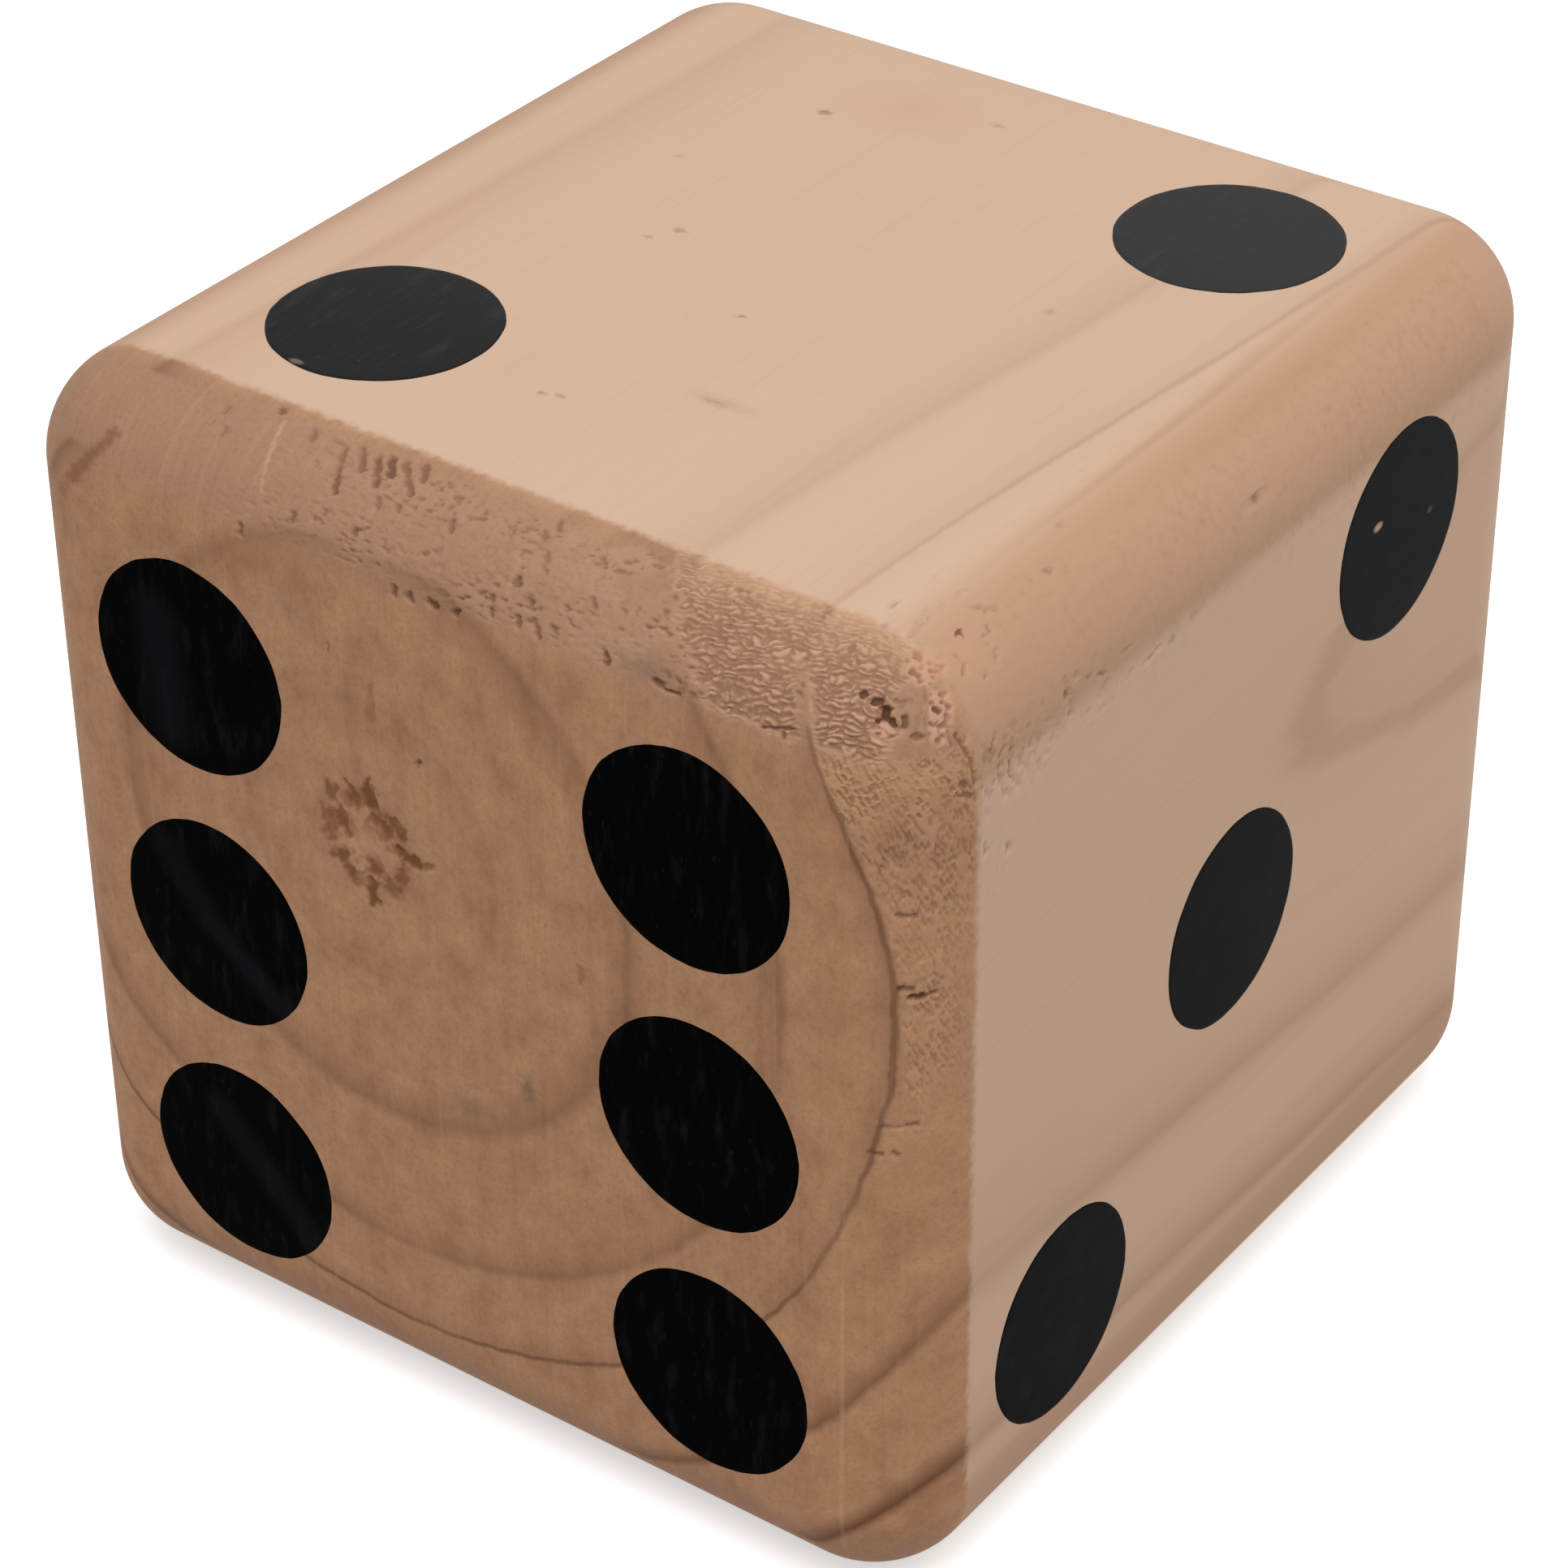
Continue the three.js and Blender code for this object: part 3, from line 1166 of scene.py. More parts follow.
@dataclass(frozen=True)
class Ripples:
    """End grain torn into ripples along the front top edge, by x and the distance over the edge."""

    start: float = 2.0
    reach: float = 16.0
    rows: BrokenRows = BrokenRows(0.5, 1.35, math.radians(14), 1.35, 0.4, 3.1)
    fuzz: Speckle = Speckle(0.45, 0.32, 17.3, 0.45)
    depth: float = 0.26
    shallow_crest: Fade = Fade(9.5, 13.5, 0.45)

    # They start at one growth ring, and a second one leaves a smooth strip in them
    sway: Speckle = Speckle(1.2, 1.2, 21.9)
    first_ring: Slant = Slant(25.8, 0.81, 2.9, 1.9)
    fringe: Speckle = Speckle(0.5, 0.5, 27.7, 0.8)
    inside: Fade = Fade(-0.8, 1.6)
    second_ring: Slant = Slant(34.6, 0.46, 4.2, 0.3)
    strip: Fade = Fade(1.1, 0.4, 0.85)
    strip_end: Fade = Fade(9.6, 7.0)

    # They end before the flat faces and before the corner
    foot: Fade = Fade(2.8, 3.7)
    foot_sway: float = 0.5
    crest: Fade = Fade(15.0, 13.9)
    crest_sway: float = 1.2
    corner: Fade = Fade(0.66, 0.5)

    # Outside the first ring the grain is only slightly torn, in patches
    patches: Speckle = Speckle(4.0, 2.6, 31.1)
    patchiness: Fade = Fade(-0.2, 0.25, 0.32)
    outside: Fade = Fade(-17.0, -5.0)
    outside_end: Fade = Fade(0.4, 0.0)

    def tear(self, points: np.ndarray, outward: np.ndarray,
             climb: np.ndarray) -> tuple[np.ndarray, np.ndarray]:
        """Tear the ripples into the block.

        Args:
            points: Points of the block.
            outward: Outward direction at each.
            climb: Distance from the front face over the top edge.

        Returns:
            Depth of the ripples, and how torn each point is.
        """
        depth = np.zeros(len(points))
        torn = np.zeros(len(points))
        near = (climb > 0) & (climb < self.reach) & (points[:, 0] > self.start)
        near = near & (points[:, 1] < FRONT_EDGES)
        x = points[near, 0]
        s = climb[near]
        uneven = self.sway.at(x, s)
        from_ring = x - (self.first_ring.at(s, uneven) + self.fringe.at(x, s))
        strip = self.strip.at(np.abs(x - self.second_ring.at(s, uneven))) * self.strip_end.at(s)
        height = self.foot.at(s + self.foot_sway * uneven) * self.crest.at(s + self.crest_sway * uneven)
        full = self.inside.at(from_ring) * (1 - strip) * self.corner.at(outward[near, 0])
        patchy = self.patchiness.at(self.patches.at(x, s))
        slight = patchy * self.outside.at(from_ring) * self.outside_end.at(from_ring)
        mask = np.maximum(full, slight) * height
        pieces = self.rows.height(x, s) + self.fuzz.at(x, s)
        shallow = 1 - self.shallow_crest.at(s)
        depth[near] = mask * shallow * self.depth * (1 - np.clip(pieces, 0, 1))
        torn[near] = mask
        return depth, torn


@dataclass(frozen=True)
class TearMarks:
    """Slanting marks torn into the front upright edge, by z and the distance over the edge."""

    heights: Pair = (40.0, 86.0)
    reach: Pair = (-1.0, 15.5)
    side: float = 33.0
    steep_rows: BrokenRows = BrokenRows(0.48, 0.9, math.radians(-60), 0.6, 0.1, 8.3)
    upright_rows: BrokenRows = BrokenRows(0.42, 0.8, math.radians(-66), 0.6, 0.0, 14.9)
    fuzz: Speckle = Speckle(0.4, 0.6, 23.9, 0.15)
    sharpness: Fade = Fade(0.22, 0.72)
    depth: float = 0.19
    torn: float = 0.35

    # They lie outside a growth ring that bends, and thin out downwards and away from it
    sway: Speckle = Speckle(2.5, 2.5, 15.7)
    ring_place: float = 7.6
    ring_height: float = 57.0
    ring_bend: float = 0.0115
    ring_sway: float = 0.3
    outside: Fade = Fade(0.0, 0.8)
    outside_end: Fade = Fade(14.2, 13.4)
    foot: Fade = Fade(43.0, 58.0)
    foot_sway: float = 4.0
    top: Fade = Fade(83.2, 81.8)
    thin_outside: Fade = Fade(3.0, 6.0, 0.6)
    thin_below: Fade = Fade(72.0, 62.0)
    patches: Speckle = Speckle(3.5, 2.4, 19.7)
    patchiness: Fade = Fade(-0.4, 0.1, 0.4)
    least: float = 0.6

    gouges: GougeGroup = GougeGroup(6.9, (
        Gouge((7.5, 62.4), (8.5, 62.2), 0.28, 0.36),
        Gouge((8.3, 61.4), (9.3, 61.4), 0.32, 0.55),
        Gouge((9.3, 61.4), (10.4, 61.5), 0.2, 0.4),
        Gouge((7.3, 69.1), (8.7, 68.8), 0.22, 0.32),
        Gouge((6.2, 49.7), (7.8, 49.5), 0.18, 0.22),
        Gouge((8.2, 49.6), (8.9, 49.5), 0.28, 0.32),
        Gouge((5.3, 47.2), (6.2, 47.0), 0.22, 0.26),
        Gouge((7.2, 47.1), (7.4, 46.9), 0.28, 0.32),
        Gouge((12.4, 83.0), (13.4, 80.8), 0.22, 0.26),
        Gouge((13.4, 80.8), (13.8, 78.6), 0.24, 0.28),
        Gouge((12.5, 79.3), (12.9, 78.9), 0.36, 0.32),
        Gouge((12.6, 78.2), (13.5, 77.7), 0.26, 0.28),
    ))

    def tear(self, points: np.ndarray, climb: np.ndarray) -> tuple[np.ndarray, np.ndarray]:
        """Tear the marks into the block.

        Args:
            points: Points of the block.
            climb: Distance from the front face over the upright edge.

        Returns:
            Depth of the marks, and how torn each point is.
        """
        depth = np.zeros(len(points))
        torn = np.zeros(len(points))
        height = points[:, 2]
        near = (height > self.heights[0]) & (height < self.heights[1])
        near = near & (climb > self.reach[0]) & (climb < self.reach[1]) & (points[:, 0] > self.side)
        z = height[near]
        s = climb[near]
        uneven = self.sway.at(z, s)
        from_ring = s - (self.ring_place - self.ring_bend * (z - self.ring_height) ** 2)
        body = self.foot.at(z + self.foot_sway * uneven) * self.top.at(z + uneven)
        width = self.outside.at(from_ring + self.ring_sway * uneven) * self.outside_end.at(s)
        width = width * (1 - self.thin_outside.at(from_ring) * self.thin_below.at(z))
        mask = body * width * (self.least + self.patchiness.at(self.patches.at(z, s)))
        pieces = np.maximum(self.steep_rows.height(s, z), self.upright_rows.height(s, z))
        marks = mask * self.depth * self.sharpness.at(pieces + self.fuzz.at(s, z))
        depth[near] = np.maximum(marks, self.gouges.depth(s, z))
        torn[near] = self.torn * mask
        return depth, torn


@dataclass(frozen=True)
class TopNicks:
    """Scuffs, pits and grooves of the front top edge, by x and the distance over the edge."""

    ends: Pair = (-28.0, 36.0)
    reach: float = 15.0
    left: Fade = Fade(-25.0, -10.0)
    foot: Fade = Fade(2.5, 4.0)
    crest: Fade = Fade(14.0, 12.5)
    patches: Speckle = Speckle(4.5, 3.0, 37.1)
    patchiness: Fade = Fade(-0.25, 0.25, 0.65)
    least: float = 0.35
    coarse: Speckle = Speckle(0.7, 0.5, 41.7)
    fine: Speckle = Speckle(0.35, 0.28, 43.1, 0.6)
    sharpness: Fade = Fade(0.05, 0.6)
    depth: float = 0.25
    torn: float = 0.14

    gouges: GougeGroup = GougeGroup(51.3, (
        Gouge((-3.4, 2.6), (-3.4, 2.5), 0.42, 0.4),
        Gouge((-1.9, 2.6), (-1.8, 2.4), 0.38, 0.36),
        Gouge((0.1, 2.8), (0.7, 2.6), 0.4, 0.42),
        Gouge((2.7, 2.9), (2.7, 2.8), 0.38, 0.4),
        Gouge((7.2, 6.8), (7.3, 6.6), 0.42, 0.36),
        Gouge((8.7, 5.8), (9.0, 5.6), 0.42, 0.36),
        Gouge((5.6, 4.9), (5.6, 4.8), 0.32, 0.3),
        Gouge((5.8, 4.0), (5.9, 3.6), 0.26, 0.32),
        Gouge((8.3, 4.2), (8.4, 3.5), 0.28, 0.32),
        Gouge((10.1, 3.9), (10.4, 3.2), 0.28, 0.34),
        Gouge((7.6, 12.7), (8.0, 11.9), 0.3, 0.3),
        Gouge((7.1, 11.3), (7.5, 10.8), 0.28, 0.28),
        Gouge((8.4, 9.6), (8.8, 9.0), 0.26, 0.26),
        Gouge((12.8, 10.9), (13.4, 10.4), 0.26, 0.26),
        Gouge((13.9, 7.6), (14.3, 7.1), 0.28, 0.28),
        Gouge((16.5, 3.9), (16.8, 3.5), 0.35, 0.38),
        Gouge((-20.4, 13.4), (-20.1, 13.1), 0.4, 0.36),
        Gouge((-24.6, 11.6), (-24.4, 11.0), 0.34, 0.3),
        Gouge((-23.4, 9.8), (-23.3, 9.2), 0.32, 0.28),
        Gouge((-14.1, 5.3), (-14.1, 5.0), 0.38, 0.32),
        Gouge((-11.4, 6.4), (-11.4, 6.2), 0.3, 0.28),
        Gouge((-18.8, 2.9), (-18.7, 2.3), 0.3, 0.32),
        Gouge((-8.2, 5.8), (-8.2, 5.7), 0.36, 0.32),
        Gouge((-0.5, 9.3), (-0.1, 8.4), 0.28, 0.32),
        Gouge((-16.4, 12.6), (-16.0, 11.6), 0.34, 0.3),
        Gouge((-12.8, 11.9), (-12.1, 10.0), 0.34, 0.32),
        Gouge((-12.1, 10.0), (-11.4, 8.1), 0.38, 0.38),
        Gouge((-11.5, 12.5), (-10.3, 10.6), 0.34, 0.34),
        Gouge((-9.7, 12.1), (-8.3, 9.9), 0.38, 0.38),
        Gouge((-8.7, 12.6), (-7.7, 11.1), 0.4, 0.42),
        Gouge((-7.3, 12.6), (-5.1, 10.1), 0.36, 0.34),
        Gouge((-5.7, 13.1), (-4.9, 11.7), 0.36, 0.36),
        Gouge((-7.4, 8.8), (-7.1, 8.1), 0.3, 0.3),
        Gouge((-5.6, 8.9), (-5.2, 8.5), 0.26, 0.26),
        Gouge((21.2, 3.5), (21.8, 3.4), 0.26, 0.38),
        Gouge((22.2, 3.2), (23.5, 3.2), 0.15, 0.34),
        Gouge((31.0, 3.2), (33.4, 3.9), 0.16, 0.38),
        Gouge((32.8, 3.3), (32.9, 3.0), 0.2, 0.34),
    ))

    def cut(self, points: np.ndarray, climb: np.ndarray) -> tuple[np.ndarray, np.ndarray]:
        """Scuff the edge, and cut the pits and grooves.

        Args:
            points: Points of the block.
            climb: Distance from the front face over the top edge.

        Returns:
            Depth of the damage, and how torn each point is.
        """
        depth = np.zeros(len(points))
        torn = np.zeros(len(points))
        along = points[:, 0]
        near = (along > self.ends[0]) & (along < self.ends[1]) & (climb > 0) & (climb < self.reach)
        near = near & (points[:, 1] < FRONT_EDGES)
        x = along[near]
        s = climb[near]
        patchy = self.least + self.patchiness.at(self.patches.at(x, s))
        scuffed = self.coarse.at(x, s) + self.fine.at(x, s)
        fade = self.left.at(x) * self.foot.at(s) * self.crest.at(s)
        scuffs = self.depth * fade * patchy * self.sharpness.at(scuffed)
        depth[near] = np.maximum(scuffs, self.gouges.depth(x, s))
        torn[near] = self.torn * fade * patchy
        return depth, torn


@dataclass(frozen=True)
class CornerClump:
    """The crushed front top corner, by the directions across and up on it."""

    middle: Triple = (40.7, -42.9, 85.5)
    right: Triple = (0.81, 0.59, 0.0)
    up: Triple = (-0.33, 0.45, 0.83)
    reach: float = 7.0
    rough: Speckle = Speckle(0.9, 0.9, 61.9)
    fine: Speckle = Speckle(0.4, 0.4, 71.9)
    outline_sway: float = 0.3

    # A smooth lump
    lump: Oval = Oval((0.3, 0.1), (1.3, 1.9))
    lump_edge: Fade = Fade(1.35, 0.5)
    lump_top: float = 0.08
    lump_round: float = 0.14
    lump_rim: float = 1.1
    lump_rough: float = 0.1

    # Frayed wood above it, beside it and below it
    above: Oval = Oval((1.3, 3.0), (1.5, 1.4))
    beside: Oval = Oval((2.4, -0.4), (1.1, 2.2))
    below: Oval = Oval((-1.5, -1.5), (1.3, 0.7))
    frayed_edge: Fade = Fade(1.2, 0.7)
    frayed_depth: float = 0.28
    splinters: Speckle = Speckle(1.0, 0.45, 77.3)
    splinter_width: float = 0.55
    splinter_slant: float = 1.3
    splinter_rough: float = 0.35
    splinter_sharpness: Fade = Fade(-0.1, 0.35)

    holes: GougeGroup = GougeGroup(67.1, (
        Gouge((-3.0, 1.3), (-2.97, 1.2), 0.36, 0.55),
        Gouge((-2.3, 0.6), (-1.7, 0.8), 0.32, 0.6),
        Gouge((-1.38, 0.05), (-1.5, -0.4), 0.48, 0.75),
        Gouge((-1.7, -0.6), (-2.1, -0.8), 0.22, 0.5),
        Gouge((-0.95, -0.75), (-0.85, -1.05), 0.28, 0.6),
        Gouge((-0.1, -0.5), (-0.02, -1.1), 0.3, 0.4),
        Gouge((-0.7, 0.7), (-0.1, 0.6), 0.24, 0.26),
        Gouge((0.5, -1.95), (1.2, -1.9), 0.3, 0.3),
        Gouge((1.35, 1.7), (1.6, 0.3), 0.16, 0.2),
        Gouge((1.6, 0.3), (1.45, -1.2), 0.16, 0.2),
        Gouge((2.0, 0.05), (2.4, -0.15), 0.22, 0.4),
        Gouge((0.5, 2.8), (0.9, 2.5), 0.26, 0.34),
        Gouge((2.2, -0.9), (2.5, -2.0), 0.14, 0.22),
        Gouge((2.9, -0.9), (3.3, -2.6), 0.14, 0.22),
    ))

    def crush(self, points: np.ndarray) -> tuple[np.ndarray, np.ndarray, np.ndarray]:
        """Crush the corner.

        Args:
            points: Points of the block.

        Returns:
            Depth of the damage, how much the lump covers each point, and how frayed each is.
        """
        depth = np.zeros(len(points))
        lump = np.zeros(len(points))
        frayed = np.zeros(len(points))
        offset = points - np.array(self.middle)
        near = np.linalg.norm(offset, axis=1) < self.reach
        u = offset[near] @ np.array(self.right)
        v = offset[near] @ np.array(self.up)
        rough = self.rough.at(u, v)
        fine = self.fine.at(u, v)
        oval = self.lump.share(u, v) + self.outline_sway * rough
        lump[near] = self.lump_edge.at(oval)
        dome = self.lump_top + self.lump_round * np.clip(oval, 0, self.lump_rim) ** 2
        dome = dome + self.lump_rough * rough + self.lump_rough * fine
        zone = np.minimum(self.above.share(u, v), self.beside.share(u, v))
        zone = np.minimum(zone, self.below.share(u, v)) + self.outline_sway * rough
        frayed[near] = self.frayed_edge.at(zone)
        slanted = u / self.splinter_width + v / self.splinter_slant
        splinters = self.splinters.at(slanted, v) + self.splinter_rough * fine
        splinters = self.splinter_sharpness.at(splinters)
        damage = np.maximum(lump[near] * dome, self.frayed_depth * frayed[near] * splinters)
        depth[near] = np.maximum(damage, self.holes.depth(u, v))
        return depth, lump, frayed


@dataclass(frozen=True)
class SideNicks:
    """Scuffs, pits and scratches of the top right edge, by y and the distance over the edge."""

    side: float = 34.0
    floor: float = 68.0
    ends: Pair = (-41.0, 4.0)

    # Scuffs near the corner
    back: Fade = Fade(-25.0, -34.0)
    front: Fade = Fade(-41.0, -39.0)
    foot: Fade = Fade(-6.5, -3.0)
    crest: Fade = Fade(2.5, 0.5)
    coarse: Speckle = Speckle(0.5, 1.1, 101.3)
    fine: Speckle = Speckle(0.28, 0.45, 103.3, 0.5)
    sharpness: Fade = Fade(0.1, 0.6)
    depth: float = 0.24

    # Pits and scratches, bent and of uneven depth
    bend_along: Speckle = Speckle(1.1, 1.1, 95.1, 0.5)
    bend_over: Speckle = Speckle(1.1, 1.1, 97.7, 0.5)
    patches: Speckle = Speckle(0.8, 0.8, 99.1)
    patchiness: Fade = Fade(-0.3, 0.3, 0.5)
    least: float = 0.5
    gouges: GougeGroup = GougeGroup(91.7, (
        Gouge((-36.9, 1.6), (-37.4, 0.2), 0.36, 0.4),
        Gouge((-33.4, -1.4), (-33.6, -2.5), 0.28, 0.28),
        Gouge((-35.0, -1.3), (-34.9, -2.9), 0.26, 0.3),
        Gouge((-31.9, -0.6), (-32.1, -1.5), 0.24, 0.24),
        Gouge((-28.8, -1.8), (-29.0, -2.5), 0.26, 0.26),
        Gouge((-27.5, 1.7), (-27.4, 0.4), 0.26, 0.26),
        Gouge((-27.4, 0.4), (-26.8, -1.5), 0.3, 0.32),
        Gouge((-26.2, 1.6), (-25.9, 1.2), 0.26, 0.28),
        Gouge((-24.6, 0.9), (-24.4, 0.5), 0.26, 0.28),
        Gouge((-23.0, -0.1), (-22.6, -0.5), 0.28, 0.28),
        Gouge((-22.2, -1.4), (-22.6, -2.4), 0.3, 0.28),
        Gouge((-24.5, -2.6), (-24.6, -3.1), 0.24, 0.24),
        Gouge((-22.0, -3.3), (-22.7, -3.5), 0.24, 0.2),
        Gouge((-19.5, 0.1), (-18.9, 0.2), 0.3, 0.18),
        Gouge((-18.7, -1.9), (-18.9, -2.3), 0.26, 0.24),
        Gouge((-16.4, -2.3), (-14.7, -2.1), 0.3, 0.24),
        Gouge((-34.9, -8.6), (-34.9, -9.2), 0.34, 0.36),
        Gouge((-38.1, -7.1), (-37.8, -7.7), 0.3, 0.3),
        Gouge((-32.1, 10.5), (-31.4, 10.1), 0.24, 0.26),
        Gouge((-31.4, 9.7), (-30.5, 9.7), 0.22, 0.24),
        Gouge((-32.5, 9.0), (-32.6, 8.6), 0.3, 0.28),
        Gouge((-33.0, 8.2), (-33.2, 7.9), 0.3, 0.28),
        Gouge((-36.6, 8.3), (-36.9, 7.2), 0.24, 0.26),
        Gouge((-33.3, 6.9), (-33.4, 6.2), 0.26, 0.26),
        Gouge((-35.5, 6.4), (-35.5, 6.2), 0.26, 0.26),
        Gouge((-24.0, 9.4), (-23.9, 9.2), 0.4, 0.24),
        Gouge((-18.7, 11.8), (-19.2, 11.6), 0.34, 0.24),
        Gouge((0.3, 4.0), (0.7, 4.0), 0.5, 0.34),
        Gouge((-38.9, 12.0), (-35.0, 12.1), 0.16, 0.2),
        Gouge((-35.0, 12.1), (-30.6, 12.2), 0.15, 0.17),
        Gouge((-39.5, 12.4), (-35.0, 12.6), 0.15, 0.18),
        Gouge((-39.0, 13.9), (-35.7, 14.9), 0.22, 0.24),
        Gouge((-32.8, 14.8), (-29.4, 14.9), 0.15, 0.14),
    ))

    def cut(self, points: np.ndarray, climb: np.ndarray) -> np.ndarray:
        """Scuff the edge, and cut the pits and scratches.

        Args:
            points: Points of the block.
            climb: Distance from the side face over the long edge.

        Returns:
            Depth of the damage.
        """
        depth = np.zeros(len(points))
        near = (points[:, 0] > self.side) & (points[:, 2] > self.floor)
        near = near & (points[:, 1] > self.ends[0]) & (points[:, 1] < self.ends[1])
        y = points[near, 1]
        s = climb[near]
        zone = self.back.at(y) * self.front.at(y)
        zone = zone * self.foot.at(s) * self.crest.at(s)
        scuffs = self.depth * zone * self.sharpness.at(self.coarse.at(y, s) + self.fine.at(y, s))
        uneven = self.least + self.patchiness.at(self.patches.at(y, s))
        cuts = self.gouges.depth(y + self.bend_along.at(y, s), s + self.bend_over.at(y, s))
        depth[near] = np.maximum(scuffs, uneven * cuts)
        return depth


@dataclass(frozen=True)
class Stains:
    """Stains and pale scratches of the front and its top edge."""

    right: float = 16.0
    floor: float = 50.0
    bend_across: Speckle = Speckle(0.8, 0.8, 81.3, 0.5)
    bend_up: Speckle = Speckle(0.8, 0.8, 86.9, 0.5)

    # Crumbled pith and spots on the face, by x and z
    pith_top: float = 68.0
    pith_depth: float = 0.2
    pith: GougeGroup = GougeGroup(83.3, (
        Gouge((-10.9, 61.2), (-10.8, 60.7), 0.75, 0.7),
        Gouge((-8.7, 61.9), (-8.3, 60.8), 0.81, 0.75),
        Gouge((-7.0, 62.8), (-6.8, 61.5), 0.75, 0.9),
        Gouge((-6.6, 61.2), (-6.3, 59.8), 0.56, 0.55),
        Gouge((-11.6, 58.9), (-11.2, 56.6), 0.69, 0.55),
        Gouge((-10.2, 59.4), (-9.6, 58.0), 0.69, 0.7),
        Gouge((-10.8, 54.8), (-9.9, 55.3), 0.62, 0.7),
        Gouge((-9.5, 54.0), (-8.8, 53.2), 0.69, 0.65),
        Gouge((-7.3, 53.4), (-7.1, 52.2), 0.81, 0.9),
        Gouge((-5.6, 53.8), (-4.6, 54.0), 0.75, 0.65),
        Gouge((-4.2, 55.2), (-3.6, 56.6), 0.62, 0.55),
        Gouge((-3.8, 57.9), (-2.6, 57.6), 0.75, 0.9),
        Gouge((-2.6, 57.6), (-0.9, 57.7), 0.5, 0.65),
        Gouge((-4.6, 60.4), (-3.9, 59.4), 0.75, 0.75),
        Gouge((-5.8, 60.0), (-5.2, 59.5), 0.69, 0.75),
        Gouge((-7.2, 55.5), (-6.8, 55.1), 0.62, 0.7),
    ))
    spots: GougeGroup = GougeGroup(95.7, (
        Gouge((-6.0, 72.4), (-6.2, 69.4), 0.5, 0.3),
        Gouge((13.9, 54.1), (13.8, 53.2), 0.45, 0.4),
    ))

    # A growth ring and a pale scratch on the edge, by x and the distance over the edge
    ring: GougeGroup = GougeGroup(87.1, (
        Gouge((-32.9, 6.1), (-34.8, 3.5), 0.6, 0.5),
        Gouge((-34.8, 3.5), (-36.4, 1.4), 0.7, 0.5),
        Gouge((-36.4, 1.4), (-38.0, -0.6), 0.6, 0.3),
    ))
    scratch: GougeGroup = GougeGroup(89.3, (
        Gouge((-19.2, 12.2), (-17.7, 6.1), 0.18, 0.7),
    ))

    # A pale line low on the face, by x and z
    line_sides: Pair = (36.0, 40.0)
    line_top: float = 40.0
    line: GougeGroup = GougeGroup(93.1, (
        Gouge((38.1, 34.0), (38.0, 6.0), 0.2, 0.3),
    ))

    def spread(self, points: np.ndarray, climb: np.ndarray) -> tuple[np.ndarray, np.ndarray]:
        """Stain and scratch the front.

        Args:
            points: Points of the block.
            climb: Distance from the front face over the top edge.

        Returns:
            How stained each point is, and how pale the scratches make it.
        """
        stain = np.zeros(len(points))
        pale = np.zeros(len(points))
        edge = points[:, 1] < FRONT_EDGES
        front = edge & (points[:, 0] < self.right) & (points[:, 2] > self.floor)
        x = points[front, 0]
        z = points[front, 2]
        s = climb[front]
        bent_x = x + self.bend_across.at(x, z)
        bent_z = z + self.bend_up.at(x, z)
        pith = self.pith.depth(bent_x, bent_z) * (z < self.pith_top)
        stained = np.maximum(pith, self.ring.depth(x, s))
        stain[front] = np.maximum(stained, self.spots.depth(bent_x, bent_z))
        pale[front] = self.scratch.depth(x, s)
        low = edge & (points[:, 0] > self.line_sides[0]) & (points[:, 0] < self.line_sides[1])
        low = low & (points[:, 2] < self.line_top)
        pale[low] = self.line.depth(points[low, 0], points[low, 2])
        return stain, pale


@dataclass(frozen=True)
class RoundedForm:
    """The die's outer form: a box with rounded edges and ball corners."""

    half: Triple
    middle: Triple
    radius: float

    def core(self, axis: int) -> float:
        """Half the flat length along an axis."""
        return self.half[axis] - self.radius

    def settle(self, place: np.ndarray) -> tuple[np.ndarray, np.ndarray]:
        """Drop points on to the form.

        Args:
            place: Points near the form, one row each.

        Returns:
            The points on the form, and the outward direction at each.
        """
        offset = place - np.array(self.middle)
        limit = np.array([self.core(axis) for axis in range(3)])
        core = np.clip(offset, -limit, limit)
        outward = offset - core
        outward = outward / np.linalg.norm(outward, axis=1, keepdims=True)
        return core + np.array(self.middle) + outward * self.radius, outward


@dataclass(frozen=True)
class Stretch:
    """A run of the block's grid that has its own spacing, measured from the middle."""

    end: float
    step: float


